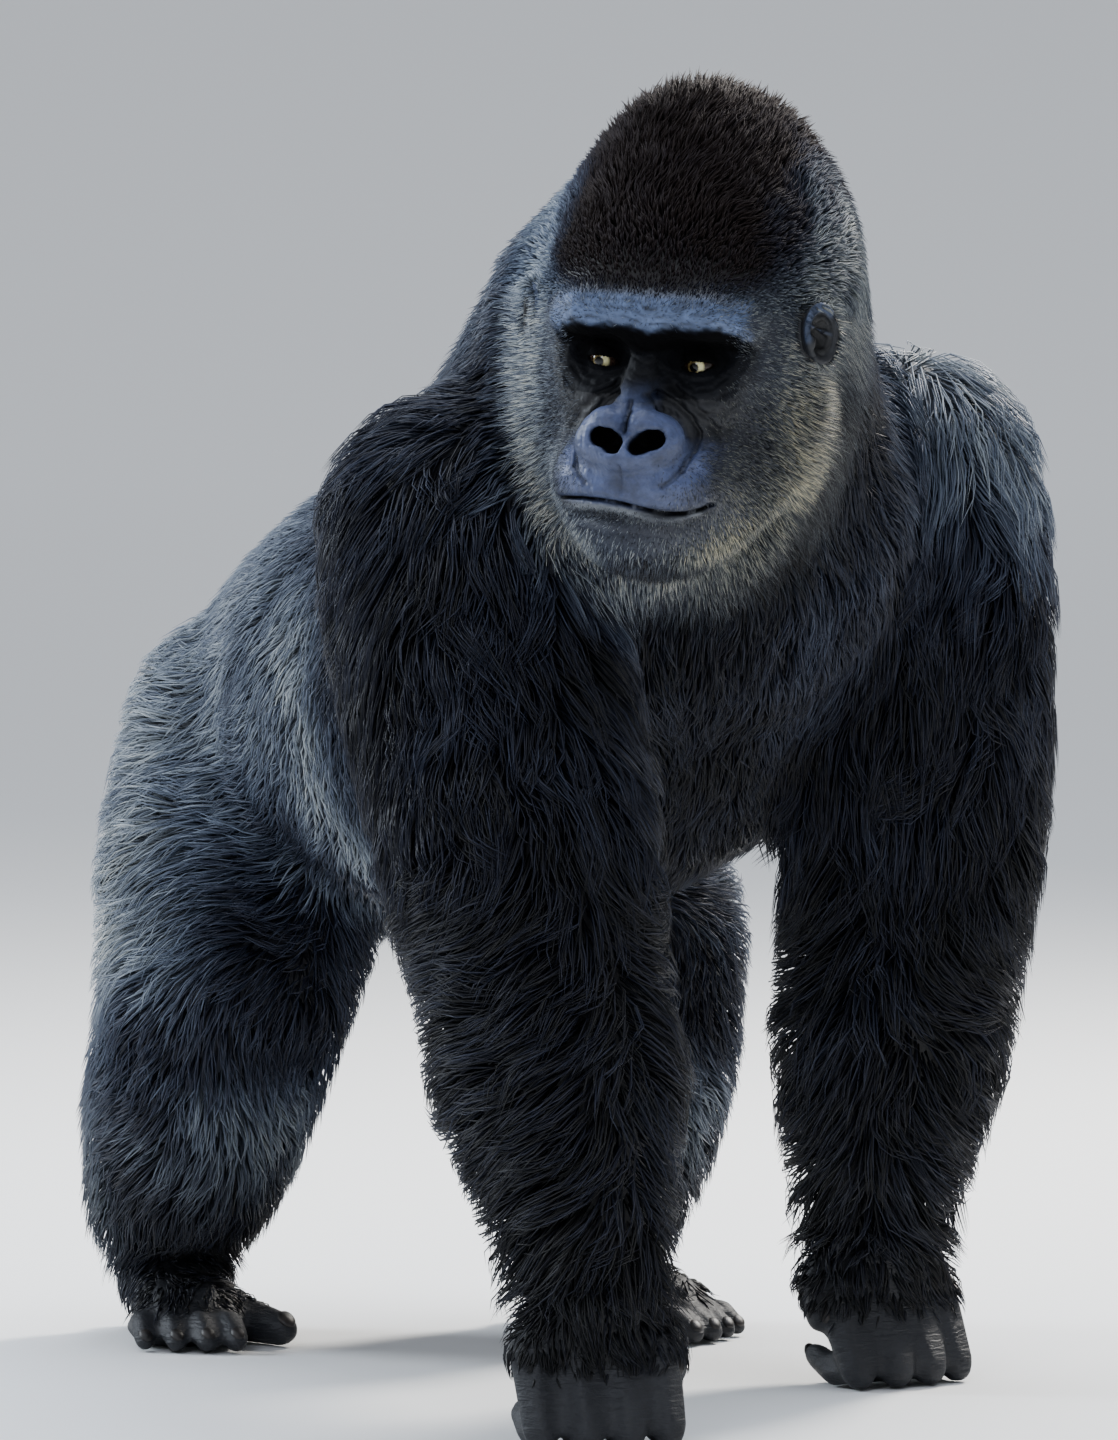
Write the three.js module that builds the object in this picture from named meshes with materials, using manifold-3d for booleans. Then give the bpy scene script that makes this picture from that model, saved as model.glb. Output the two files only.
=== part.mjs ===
// A life-size adult male western lowland gorilla that stands on its knuckles and feet.
// The right hand and the left foot are a step ahead, and the head is turned to its right.
// Units are millimetres, +Z is up and the body faces -Y, so its right side is -X.
// Every outline is taken out to the tips of the coat.
import * as THREE from 'three';
import Module from 'manifold-3d';

const wasm = await Module();
wasm.setup();

// Driving dimensions
const cutGap = 0.3; // clear gap at a flat cut between two parts
const pocketGap = 1; // clear gap where a rounded part sits in a pocket of its neighbour
const headPlace = at(-175, -370, 935); // root of the nose, between the eyes and the brow
const headTurn = THREE.MathUtils.degToRad(-44); // turned to its right
const headNod = THREE.MathUtils.degToRad(6); // nose lowered
const headTilt = THREE.MathUtils.degToRad(3.5); // left eye lower than the right one
const eyeSpacing = 84;
const eyeDrop = 10; // how far the eyes lie below the root of the nose
const eyeRadius = 14;
const shoulderRoot = 110; // how near the middle the upper arms reach inside the chest
const hipRoot = 40; // the same for the thighs
const soleSink = 3; // how far a rounded sole would reach below the floor before it is cut flat
const faceCell = 16; // finest facets, round the eyes and mouth
const limbSides = 12; // facets round a limb
const bodySides = 18; // facets round the trunk

const paint = {
  blackCoat: { color: '#1c1e26', roughness: 0.78, metalness: 0 },
  greyCoat: { color: '#5f666f', roughness: 0.82, metalness: 0 },
  silverCoat: { color: '#8a929b', roughness: 0.85, metalness: 0 },
  bareSkin: { color: '#2a2e38', roughness: 0.5, metalness: 0 },
  eye: { color: '#3a2210', roughness: 0.12, metalness: 0 },
  nail: { color: '#23211f', roughness: 0.4, metalness: 0 },
};

function at(x, y, z) {
  return new THREE.Vector3(x, y, z);
}

// Distance fields: each one gives the distance to a surface, negative inside it

// A ball swept from one place to another while its radius changes
function roundCone(start, end, startRadius, endRadius) {
  const axis = end.clone().sub(start);
  const length2 = axis.lengthSq();
  const step = startRadius - endRadius;
  const cone2 = length2 - step * step;
  const inverse2 = 1 / length2;
  const offset = at(0, 0, 0);
  return (p) => {
    offset.copy(p).sub(start);
    const along = offset.dot(axis);
    const beyond = along - length2;
    const side2 = offset.multiplyScalar(length2).addScaledVector(axis, -along).lengthSq();
    const beyond2 = beyond * beyond * length2;
    const along2 = along * along * length2;
    const key = Math.sign(step) * step * step * side2;
    if (Math.sign(beyond) * cone2 * beyond2 > key) return Math.sqrt(side2 + beyond2) * inverse2 - endRadius;
    if (Math.sign(along) * cone2 * along2 < key) return Math.sqrt(side2 + along2) * inverse2 - startRadius;
    return (Math.sqrt(side2 * cone2 * inverse2) + along * step) * inverse2 - startRadius;
  };
}

// A run of round cones through a list of balls, each given as [place, radius]
function chain(balls, softness) {
  const parts = balls.slice(1).map(([end, endRadius], i) => {
    const [start, startRadius] = balls[i];
    return roundCone(start, end, startRadius, endRadius);
  });
  return blend(parts, softness);
}

function ellipsoid(center, radii) {
  return (p) => {
    const x = (p.x - center.x) / radii.x;
    const y = (p.y - center.y) / radii.y;
    const z = (p.z - center.z) / radii.z;
    const reach = Math.sqrt(x * x + y * y + z * z);
    const slope = Math.hypot(x / radii.x, y / radii.y, z / radii.z);
    return slope < 1e-9 ? -Math.min(radii.x, radii.y, radii.z) : (reach * (reach - 1)) / slope;
  };
}

function smoothMin(a, b, softness) {
  const h = Math.max(softness - Math.abs(a - b), 0) / softness;
  return Math.min(a, b) - h * h * softness * 0.25;
}

// One surface round several, with fillets as wide as the softness
function blend(fields, softness) {
  return (p) => fields.reduce((sum, field) => smoothMin(sum, field(p), softness), 1e5);
}

function carve(field, tool, softness) {
  return (p) => -smoothMin(-field(p), tool(p), softness);
}

// The half of space in front of a plane counts as outside
function halfSpace(point, outward) {
  const normal = outward.clone().normalize();
  return { point, normal, field: (p) => normal.dot(p) - normal.dot(point) };
}

function opposite(plane) {
  return halfSpace(plane.point, plane.normal.clone().negate());
}

// Meshing: one corner in every grid cell that the surface crosses, pulled on to the surface

// Grid lines that lie close together round the middle and spread out away from it
function gradedLines(low, high, middle, fine, growth) {
  const upward = [middle];
  for (let gap = fine; upward.at(-1) < high; gap *= growth) upward.push(upward.at(-1) + gap);
  const downward = [];
  for (let gap = fine, line = middle; line > low; gap *= growth) {
    line -= gap;
    downward.push(line);
  }
  return [...downward.reverse(), ...upward];
}

function polygonise(field, grid, level = 0) {
  const { xs, ys, zs, matrix } = grid;
  const [nx, ny, nz] = [xs.length, ys.length, zs.length];
  const node = (i, j, k) => i + nx * (j + ny * k);
  const place = (i, j, k) => at(xs[i], ys[j], zs[k]).applyMatrix4(matrix);
  const value = new Float64Array(nx * ny * nz);
  for (let k = 0; k < nz; k++) {
    for (let j = 0; j < ny; j++) {
      for (let i = 0; i < nx; i++) {
        const rim = i === 0 || j === 0 || k === 0 || i === nx - 1 || j === ny - 1 || k === nz - 1;
        const found = field(place(i, j, k)) - level;
        value[node(i, j, k)] = rim ? Math.max(found, 1) : found;
      }
    }
  }

  const corners = [];
  const cornerOf = new Map();
  const ends = [0, 1, 2, 3, 4, 5, 6, 7].map((c) => [c & 1, (c >> 1) & 1, (c >> 2) & 1]);
  for (let k = 0; k < nz - 1; k++) {
    for (let j = 0; j < ny - 1; j++) {
      for (let i = 0; i < nx - 1; i++) {
        const sum = at(0, 0, 0);
        let crossings = 0;
        for (let a = 0; a < 8; a++) {
          for (const bit of [1, 2, 4]) {
            const b = a | bit;
            if (b === a) continue;
            const va = value[node(i + ends[a][0], j + ends[a][1], k + ends[a][2])];
            const vb = value[node(i + ends[b][0], j + ends[b][1], k + ends[b][2])];
            if (va < 0 === vb < 0) continue;
            const from = place(i + ends[a][0], j + ends[a][1], k + ends[a][2]);
            const to = place(i + ends[b][0], j + ends[b][1], k + ends[b][2]);
            sum.add(from.lerp(to, va / (va - vb)));
            crossings += 1;
          }
        }
        if (crossings === 0) continue;
        cornerOf.set(node(i, j, k), corners.length);
        const reach = 0.45 * (xs[i + 1] - xs[i]);
        corners.push(settle(sum.divideScalar(crossings), field, level, reach));
      }
    }
  }

  const triangles = [];
  const steps = [node(1, 0, 0), node(0, 1, 0), node(0, 0, 1)];
  for (let k = 0; k < nz - 1; k++) {
    for (let j = 0; j < ny - 1; j++) {
      for (let i = 0; i < nx - 1; i++) {
        const here = node(i, j, k);
        for (let axis = 0; axis < 3; axis++) {
          const inside = value[here] < 0;
          if (inside === value[here + steps[axis]] < 0) continue;
          const u = steps[(axis + 1) % 3];
          const v = steps[(axis + 2) % 3];
          const ring = [here, here - u, here - u - v, here - v].map((id) => cornerOf.get(id));
          if (!inside) ring.reverse();
          const [a, b, c, d] = ring;
          const short = corners[a].distanceTo(corners[c]) <= corners[b].distanceTo(corners[d]);
          triangles.push(...(short ? [a, b, c, a, c, d] : [b, c, d, b, d, a]));
        }
      }
    }
  }
  return solidFrom(corners.flatMap((p) => [p.x, p.y, p.z]), triangles);
}

// Moves a point along the steepest way on to the surface, by no more than the given reach
function settle(point, field, level, reach) {
  const start = point.clone();
  const nudge = 0.5;
  for (let turn = 0; turn < 4; turn++) {
    const slope = at(
      field(at(point.x + nudge, point.y, point.z)) - field(at(point.x - nudge, point.y, point.z)),
      field(at(point.x, point.y + nudge, point.z)) - field(at(point.x, point.y - nudge, point.z)),
      field(at(point.x, point.y, point.z + nudge)) - field(at(point.x, point.y, point.z - nudge)),
    ).divideScalar(2 * nudge);
    const steepness = Math.max(slope.lengthSq(), 0.2);
    point.addScaledVector(slope, -(field(point) - level) / steepness);
  }
  const move = point.clone().sub(start);
  return move.length() > reach ? start.addScaledVector(move.normalize(), reach) : point;
}

function solidFrom(positions, triangles) {
  const mesh = new wasm.Mesh({
    numProp: 3,
    vertProperties: new Float32Array(positions),
    triVerts: new Uint32Array(triangles),
  });
  mesh.merge();
  return new wasm.Manifold(mesh);
}

function solidOf(geometry, matrix = new THREE.Matrix4()) {
  const moved = geometry.clone().applyMatrix4(matrix);
  const places = moved.getAttribute('position');
  const index = moved.getIndex();
  const triangles = index ? Array.from(index.array) : Array.from({ length: places.count }, (_, i) => i);
  return solidFrom(Array.from(places.array), triangles);
}

const blockSide = 4000; // larger than the whole animal

// Keeps what lies behind the plane, pulled back by half the cut's gap
function trim(solid, plane, spare = -cutGap / 2) {
  const turn = new THREE.Quaternion().setFromUnitVectors(at(0, 0, 1), plane.normal);
  const center = plane.point.clone().addScaledVector(plane.normal, spare - blockSide / 2);
  const matrix = new THREE.Matrix4().compose(center, turn, at(1, 1, 1));
  return solid.intersect(solidOf(new THREE.BoxGeometry(blockSide, blockSide, blockSide), matrix));
}

// A part of a field between planes, as a solid and as the slightly larger room that it needs
function flesh(field, grid, planes) {
  const spare = 1.2 * (grid.xs[1] - grid.xs[0]);
  const bounded = (p) => planes.reduce((most, plane) => Math.max(most, plane.field(p) - spare), field(p));
  const cut = (level, pull) =>
    planes.reduce((solid, plane) => trim(solid, plane, pull), polygonise(bounded, grid, level));
  return { solid: cut(0, -cutGap / 2), room: cut(pocketGap, cutGap / 2) };
}

// Rings of corners joined into a tube, closed at both ends by a fan round a tip
function tube(rings, firstTip, lastTip) {
  const sides = rings[0].length;
  const points = [...rings.flat(), firstTip, lastTip];
  const triangles = [];
  const top = (rings.length - 1) * sides;
  for (let s = 0; s < sides; s++) {
    const next = (s + 1) % sides;
    triangles.push(points.length - 2, next, s);
    triangles.push(points.length - 1, top + s, top + next);
    for (let low = 0; low < top; low += sides) {
      const high = low + sides;
      triangles.push(low + s, low + next, high + next, low + s, high + next, high + s);
    }
  }
  return solidFrom(points.flatMap((p) => [p.x, p.y, p.z]), triangles);
}

// Corners round a center, at the distance that reach gives for each direction
function ringRound(center, forward, sides, reach) {
  const side = at(1, 0, 0).addScaledVector(forward, -forward.x).normalize();
  const up = forward.clone().cross(side);
  return Array.from({ length: sides }, (_, s) => {
    const angle = ((s + 0.5) / sides) * Math.PI * 2;
    const out = side.clone().multiplyScalar(Math.cos(angle)).addScaledVector(up, Math.sin(angle));
    return center.clone().addScaledVector(out, reach(out, Math.abs(Math.cos(angle))));
  });
}

// A tube through balls, each given as [place, radius, how much wider than high]
function digit(balls, sides) {
  const last = balls.length - 1;
  const rings = [];
  const tips = [];
  balls.forEach(([place, radius, wide = 1], i) => {
    const before = balls[Math.max(i - 1, 0)][0];
    const after = balls[Math.min(i + 1, last)][0];
    const forward = after.clone().sub(before).normalize();
    const capAngles = i === 0 ? [-Math.PI / 4, 0] : i === last ? [0, Math.PI / 4] : [0];
    for (const angle of capAngles) {
      const center = place.clone().addScaledVector(forward, radius * Math.sin(angle));
      const reach = (out, sideways) => radius * Math.cos(angle) * (1 + (wide - 1) * sideways);
      rings.push(ringRound(center, forward, sides, reach));
    }
    const away = i === 0 ? -radius : radius;
    tips.push(place.clone().addScaledVector(forward, away));
  });
  return tube(rings, tips[0], tips[last]);
}

// How far a field's surface lies from an inner point, along a direction
function distanceOut(field, from, out, level) {
  const probe = at(0, 0, 0);
  const depth = (reach) => field(probe.copy(from).addScaledVector(out, reach)) - level;
  const stride = 8;
  let outside = stride;
  while (depth(outside) < 0) outside += stride;
  let inside = outside - stride;
  for (let turn = 0; turn < 14; turn++) {
    const middle = (inside + outside) / 2;
    if (depth(middle) < 0) inside = middle;
    else outside = middle;
  }
  return outside;
}

// A field meshed as rings along a path between two of its stations. Its ends are flat cuts,
// or domes where they are free.
function loft(field, path, stations, sides, { level = 0, freeStart = false, freeEnd = false } = {}) {
  const last = stations.length - 1;
  const centers = stations.map((t, i) => {
    const pullBack = i === 0 && !freeStart ? 1 : i === last && !freeEnd ? -1 : 0;
    return path.getPointAt(t).addScaledVector(path.getTangentAt(t), (pullBack * cutGap) / 2);
  });
  const rings = centers.map((center, i) =>
    ringRound(center, path.getTangentAt(stations[i]), sides, (out) => distanceOut(field, center, out, level)));
  const tip = (i, free, sense) => {
    const out = path.getTangentAt(stations[i]).multiplyScalar(sense);
    const reach = free ? distanceOut(field, centers[i], out, level) : 0;
    return centers[i].clone().addScaledVector(out, reach);
  };
  return tube(rings, tip(0, freeStart, -1), tip(last, freeEnd, 1));
}

function ball(radii, place, turn, segments = [10, 7]) {
  const geometry = new THREE.SphereGeometry(1, ...segments);
  const matrix = new THREE.Matrix4().compose(place, turn, radii);
  return solidOf(geometry, matrix);
}

const group = new THREE.Group();
group.name = 'gorilla';

function addPart(name, solid, look) {
  const pieces = solid.decompose().sort((a, b) => b.volume() - a.volume());
  const { vertProperties, triVerts } = pieces[0].getMesh(); // without the chips that a cut leaves loose
  const geometry = new THREE.BufferGeometry();
  geometry.setAttribute('position', new THREE.BufferAttribute(new Float32Array(vertProperties), 3));
  geometry.setIndex(new THREE.BufferAttribute(new Uint32Array(triVerts), 1));
  geometry.computeVertexNormals();
  const mesh = new THREE.Mesh(geometry, new THREE.MeshStandardMaterial(look));
  mesh.name = name;
  group.add(mesh);
}

const sideNames = [['right', -1], ['left', 1]];

// The head is laid out round the root of the nose: x to its left, y back, z up

const headMatrix = new THREE.Matrix4().compose(
  headPlace,
  new THREE.Quaternion().setFromEuler(new THREE.Euler(headNod, headTilt, headTurn, 'ZXY')),
  at(1, 1, 1),
);
const toHead = headMatrix.clone().invert();
const headQuaternion = new THREE.Quaternion().setFromRotationMatrix(headMatrix);

function inHead(x, y, z) {
  return at(x, y, z).applyMatrix4(headMatrix);
}

function headDirection(x, y, z) {
  return at(x, y, z).applyQuaternion(headQuaternion);
}

function headShape() {
  const crown = blend([
    ellipsoid(at(0, 140, 82), at(112, 128, 141)), // dome over the sagittal crest
    ellipsoid(at(0, 68, 58), at(108, 103, 98)), // forehead
    ellipsoid(at(0, 165, -20), at(118, 110, 130)), // back of the skull
  ], 40);
  const cheeks = blend(sideNames.map(([, side]) =>
    ellipsoid(at(side * 66, 100, -50), at(74, 98, 138))), 30);
  const brow = chain([
    [at(-76, -2, 32), 20],
    [at(-38, -24, 40), 24],
    [at(38, -24, 40), 24],
    [at(76, -2, 32), 20],
  ], 12);
  const midFace = ellipsoid(at(0, 34, -40), at(88, 66, 74));
  const cheekBones = blend(sideNames.map(([, side]) =>
    roundCone(at(side * 40, -12, -42), at(side * 72, 20, -18), 20, 22)), 12);
  const noseBridge = chain([[at(0, -14, 16), 13], [at(0, -40, -28), 19], [at(0, -58, -56), 26]], 12);
  const nosePad = blend([
    ellipsoid(at(0, -66, -70), at(35, 32, 27)),
    ...sideNames.map(([, side]) => ellipsoid(at(side * 26, -58, -72), at(25, 27, 25))),
  ], 8);
  const muzzle = blend([
    ellipsoid(at(0, -14, -108), at(84, 76, 44)), // upper lip
    ellipsoid(at(0, 22, -110), at(92, 80, 70)),
  ], 24);
  const jaw = blend([
    ellipsoid(at(0, -10, -152), at(60, 68, 46)), // lower lip and chin
    ellipsoid(at(0, 40, -140), at(92, 84, 72)),
  ], 24);
  const features = blend([cheekBones, noseBridge, nosePad, muzzle, jaw], 13);
  const whole = blend([blend([crown, cheeks, midFace], 34), features, brow], 20);
  const sockets = blend(sideNames.map(([, side]) =>
    ellipsoid(at(side * eyeSpacing / 2, -24, -eyeDrop), at(25, 25, 17))), 4);
  const shaped = carve(whole, sockets, 10);
  const local = at(0, 0, 0);
  return (p) => shaped(local.copy(p).applyMatrix4(toHead));
}

// The trunk, from the shoulders to the rump
const trunkBalls = (side) => [
  [at(side * 22, -110, 775), 178],
  [at(side * 41, 90, 672), 195],
  [at(side * 47, 300, 622), 198],
  [at(side * 33, 450, 592), 178],
  [at(side * 30, 575, 560), 140],
];
const trunkField = blend([
  chain(trunkBalls(-1), 60),
  chain(trunkBalls(1), 60),
  ellipsoid(at(0, 200, 600), at(232, 300, 192)), // belly
  ellipsoid(at(10, -10, 835), at(205, 190, 130)), // withers
  chain([[at(-40, -130, 820), 140], [at(170, -72, 800), 118]], 60), // slope from the neck to the left shoulder
], 60);
const neckField = chain([
  [inHead(0, 168, 52), 138],
  [at(-66, -150, 905), 162],
  [at(0, 20, 805), 185],
], 60);

// Planes that part the head, the neck, the chest and the hips
const headField = headShape();
const headCut = halfSpace(inHead(0, 140, -60), headDirection(0, 0.8, -0.6));

// Limbs, given for each side by their joints and by the radius of the coat round them
const armJoints = {
  right: {
    shoulder: at(-222, -100, 772),
    elbow: at(-242, -255, 480),
    wrist: at(-226, -345, 168),
    handTurn: THREE.MathUtils.degToRad(-12),
  },
  left: {
    shoulder: at(228, -70, 812),
    elbow: at(256, -48, 485),
    wrist: at(208, -62, 168),
    handTurn: THREE.MathUtils.degToRad(8),
  },
};
const legJoints = {
  right: {
    hip: at(-114, 535, 555),
    knee: at(-202, 430, 345),
    ankle: at(-198, 560, 112),
    footTurn: THREE.MathUtils.degToRad(-14),
  },
  left: {
    hip: at(114, 515, 555),
    knee: at(190, 372, 352),
    ankle: at(180, 425, 112),
    footTurn: THREE.MathUtils.degToRad(12),
  },
};

function armField({ shoulder, elbow, wrist }) {
  return chain([
    [shoulder, 145],
    [shoulder.clone().lerp(elbow, 0.5), 138],
    [elbow, 123],
    [elbow.clone().lerp(wrist, 0.5), 116],
    [wrist, 84],
    [wrist.clone().add(at(0, -6, -60)), 52],
  ], 40);
}

function legField({ hip, knee, ankle }) {
  return chain([
    [hip, 147],
    [hip.clone().lerp(knee, 0.55), 140],
    [knee, 118],
    [knee.clone().lerp(ankle, 0.5), 112],
    [ankle, 84],
    [ankle.clone().add(at(0, -12, -54)), 54],
  ], 40);
}

// The line along the middle of a limb, from inside its round top to where the hand or foot begins
function limbPath(root, bend, end) {
  const top = root.clone().addScaledVector(bend.clone().sub(root).normalize(), -125);
  return new THREE.CatmullRomCurve3([top, root, bend, end, end.clone().add(at(0, -4, -34))]);
}

// Where the rings of a limb lie, in parts of its path's length
const armStations = { upper: [0, 0.09, 0.19, 0.31, 0.43, 0.56], lower: [0.56, 0.67, 0.79, 0.91, 1] };
const legStations = { upper: [0, 0.1, 0.2, 0.31, 0.42, 0.56], lower: [0.56, 0.71, 0.82, 0.92, 1] };

const floorCut = halfSpace(at(0, 0, cutGap / 2), at(0, 0, -1));

// The knuckles rest on the floor and the fingertips curl back under the palm
function hand(joints, cut, side) {
  const frame = new THREE.Matrix4().makeRotationZ(joints.handTurn).setPosition(cut.point.x, cut.point.y, 0);
  const inHand = (x, y, z) => at(side * x, y, z).applyMatrix4(frame);
  const fingerPitch = 37;
  const fingerRadii = [16.5, 18.5, 18.5, 16.5]; // little finger last
  const fingerReach = [0.9, 1, 0.98, 0.84];
  const palm = digit([
    [cut.point.clone().addScaledVector(cut.normal, 22), 70],
    [inHand(0, -4, 106), 40, 1.45],
    [inHand(0, -10, 84), 28, 2.2],
  ], 9);
  const fingers = fingerRadii.map((radius, i) => {
    const x = (i - 1.5) * fingerPitch;
    const reach = fingerReach[i];
    const knuckle = inHand(x, -55 * reach, radius + 3 - soleSink);
    const upper = digit([[inHand(x, -12, 84), radius + 7], [knuckle, radius + 3]], 5);
    const lower = digit([
      [inHand(x, -50 * reach, radius), radius - 4],
      [inHand(x, -16, radius - soleSink), radius],
      [inHand(x, 14, radius + 10), radius - 2],
    ], 5);
    return upper.add(lower);
  });
  const thumb = digit([[inHand(-40, 6, 118), 24], [inHand(-68, 0, 90), 17], [inHand(-72, -12, 62), 14]], 6);
  const whole = [...fingers, thumb].reduce((sum, piece) => sum.add(piece), palm);
  const nails = fingerRadii.map((radius, i) => ({
    place: inHand((i - 1.5) * fingerPitch, 22, radius + 12),
    outward: inHand(0, 1, -0.25).sub(inHand(0, 0, 0)),
  }));
  nails.push({ place: inHand(-74, -26, 66), outward: inHand(-0.3, -1, 0.1).sub(inHand(0, 0, 0)) });
  return { solid: trim(trim(whole, cut), floorCut), nails };
}

// The whole sole rests on the floor and the big toe stands apart
function foot(joints, cut, side) {
  const frame = new THREE.Matrix4().makeRotationZ(joints.footTurn).setPosition(cut.point.x, cut.point.y, 0);
  const inFoot = (x, y, z) => at(side * x, y, z).applyMatrix4(frame);
  const toeRadii = [15.5, 15.5, 14.5, 13.5]; // little toe last
  const toeLength = [58, 60, 55, 46];
  const sole = digit([
    [inFoot(0, 58, 36 - soleSink), 38],
    [inFoot(2, -20, 38 - soleSink), 40, 1.15],
    [inFoot(6, -96, 26 - soleSink), 27, 1.9],
  ], 9);
  const root = digit([
    [cut.point.clone().addScaledVector(cut.normal, 20), 68],
    [inFoot(0, -6, 46), 44],
  ], 9);
  const toes = toeRadii.map((radius, i) => {
    const x = -22 + i * 23;
    return digit([
      [inFoot(x, -104 + i * 6, 22 - soleSink), radius + 5],
      [inFoot(x * 1.12, -110 + i * 6 - toeLength[i] * 0.55, 23), radius + 1],
      [inFoot(x * 1.16, -110 + i * 7 - toeLength[i], radius - soleSink), radius - 1],
    ], 5);
  });
  const bigToe = digit([
    [inFoot(-16, -40, 33 - soleSink), 32],
    [inFoot(-52, -80, 25 - soleSink), 24],
    [inFoot(-76, -124, 20 - soleSink), 19],
  ], 6);
  const whole = [root, ...toes, bigToe].reduce((sum, piece) => sum.add(piece), sole);
  const nails = toeRadii.map((radius, i) => ({
    place: inFoot((-22 + i * 23) * 1.16, -117 + i * 7 - toeLength[i], 2 * radius - soleSink - 4),
    outward: inFoot(0, -0.75, 1).sub(inFoot(0, 0, 0)),
  }));
  nails.push({ place: inFoot(-81, -135, 33), outward: inFoot(-0.25, -0.7, 1).sub(inFoot(0, 0, 0)) });
  return { solid: trim(trim(whole, cut), floorCut), nails };
}

// Nails are small domed plates, each set in a pocket of its digit
function addWithNails(name, part, digitNames) {
  const sideOf = name.split('_').at(-1);
  let solid = part.solid;
  part.nails.forEach(({ place, outward }, i) => {
    const big = i === part.nails.length - 1 && digitNames[i] === 'big_toe';
    const turn = new THREE.Quaternion().setFromUnitVectors(at(0, 0, 1), outward.clone().normalize());
    const radii = big ? at(11, 12, 5) : at(8, 9, 4.5);
    const nail = ball(radii, place, turn, [5, 3]);
    const room = ball(radii.clone().addScalar(cutGap), place, turn, [5, 3]);
    solid = solid.subtract(room);
    addPart(`nail_${digitNames[i]}_${sideOf}`, trim(nail, floorCut), paint.nail);
  });
  addPart(name, solid, paint.bareSkin);
}

const fingerNames = ['index', 'middle', 'ring', 'little', 'thumb'];
const toeNames = ['toe_2', 'toe_3', 'toe_4', 'toe_5', 'big_toe'];

// Head, with the ears and eyes let into it. The bare face is parted from it by a block's sides.
const headGrid = {
  xs: gradedLines(-185, 185, 0, faceCell, 1.15),
  ys: gradedLines(-125, 330, -70, faceCell, 1.25),
  zs: gradedLines(-230, 245, -40, faceCell, 1.17),
  matrix: headMatrix,
};
const wholeHead = flesh(blend([headField, neckField], 40), headGrid, [headCut]);
let headSolid = wholeHead.solid;

// Neighbours made later leave room for these
const rooms = [wholeHead.room];
const fit = (solid) => rooms.reduce((left, room) => left.subtract(room), solid);

// The bare face reaches this far back, to each side, and up and down from the eyes
function faceBlock(extra) {
  const [depth, halfWidth, top, bottom] = [24, 84, 60, -260];
  const size = at(2 * (halfWidth + extra), 400, top - bottom + extra);
  const center = at(0, depth + extra - size.y / 2, top + extra - size.z / 2);
  const geometry = new THREE.BoxGeometry(size.x, size.y, size.z).translate(center.x, center.y, center.z);
  return solidOf(geometry, headMatrix);
}

// An ear is a small upright shell with a bowl that opens outwards and forwards
function earBall(side, radii, offset) {
  const turn = new THREE.Quaternion().setFromEuler(new THREE.Euler(0.1, 0, side * 0.62));
  const place = offset.clone().applyQuaternion(turn).add(at(side * 129, 66, 16));
  return ball(radii, place.applyMatrix4(headMatrix), headQuaternion.clone().multiply(turn), [8, 5]);
}

for (const [sideName, side] of sideNames) {
  const earSize = at(14, 24, 33);
  const ear = earBall(side, earSize, at(0, 0, 0)).subtract(earBall(side, at(11, 14, 21), at(side * 11, -5, 2)));
  headSolid = headSolid.subtract(earBall(side, earSize.clone().addScalar(cutGap), at(0, 0, 0)));
  addPart(`ear_${sideName}`, ear, paint.bareSkin);

  const place = inHead(side * eyeSpacing / 2, -1, -eyeDrop);
  const size = (extra) => at(1, 1, 1).multiplyScalar(eyeRadius + extra);
  headSolid = headSolid.subtract(ball(size(cutGap), place, headQuaternion, [9, 6]));
  addPart(`eye_${sideName}`, ball(size(0), place, headQuaternion, [9, 6]), paint.eye);
  headSolid = headSolid.subtract(ball(at(10, 14, 8), inHead(side * 17, -97, -66), headQuaternion, [8, 6]));
}
addPart('head', headSolid.subtract(faceBlock(cutGap)), paint.greyCoat);
addPart('face', headSolid.intersect(faceBlock(0)), paint.bareSkin);

// Where a hand or foot meets its limb, facing back up the limb
function endCut(path) {
  return halfSpace(path.getPointAt(1), path.getTangentAt(1).negate());
}

// The upper length of a limb, whose round top is cut off inside the trunk, and the room it needs
function upperLimb(field, path, stations, side, rootDepth) {
  const rootCut = halfSpace(at(side * rootDepth, 0, 0), at(-side, 0, 0));
  const round = (level) => loft(field, path, stations.upper, limbSides, { freeStart: true, level });
  return { solid: fit(trim(round(0), rootCut)), room: trim(round(pocketGap), rootCut, cutGap / 2) };
}

for (const [sideName, side] of sideNames) {
  const arm = armJoints[sideName];
  const field = armField(arm);
  const path = limbPath(arm.shoulder, arm.elbow, arm.wrist);
  const upper = upperLimb(field, path, armStations, side, shoulderRoot);
  addPart(`upper_arm_${sideName}`, upper.solid, paint.blackCoat);
  addPart(`forearm_${sideName}`, loft(field, path, armStations.lower, limbSides), paint.blackCoat);
  addWithNails(`hand_${sideName}`, hand(arm, endCut(path), side), fingerNames);
  rooms.push(upper.room, loft(field, path, armStations.lower, limbSides, { level: pocketGap }));
}

for (const [sideName, side] of sideNames) {
  const leg = legJoints[sideName];
  const field = legField(leg);
  const path = limbPath(leg.hip, leg.knee, leg.ankle);
  const upper = upperLimb(field, path, legStations, side, hipRoot);
  addPart(`thigh_${sideName}`, upper.solid, paint.greyCoat);
  addPart(`lower_leg_${sideName}`, loft(field, path, legStations.lower, limbSides), paint.greyCoat);
  addWithNails(`foot_${sideName}`, foot(leg, endCut(path), side), toeNames);
  rooms.push(upper.room);
}

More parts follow.
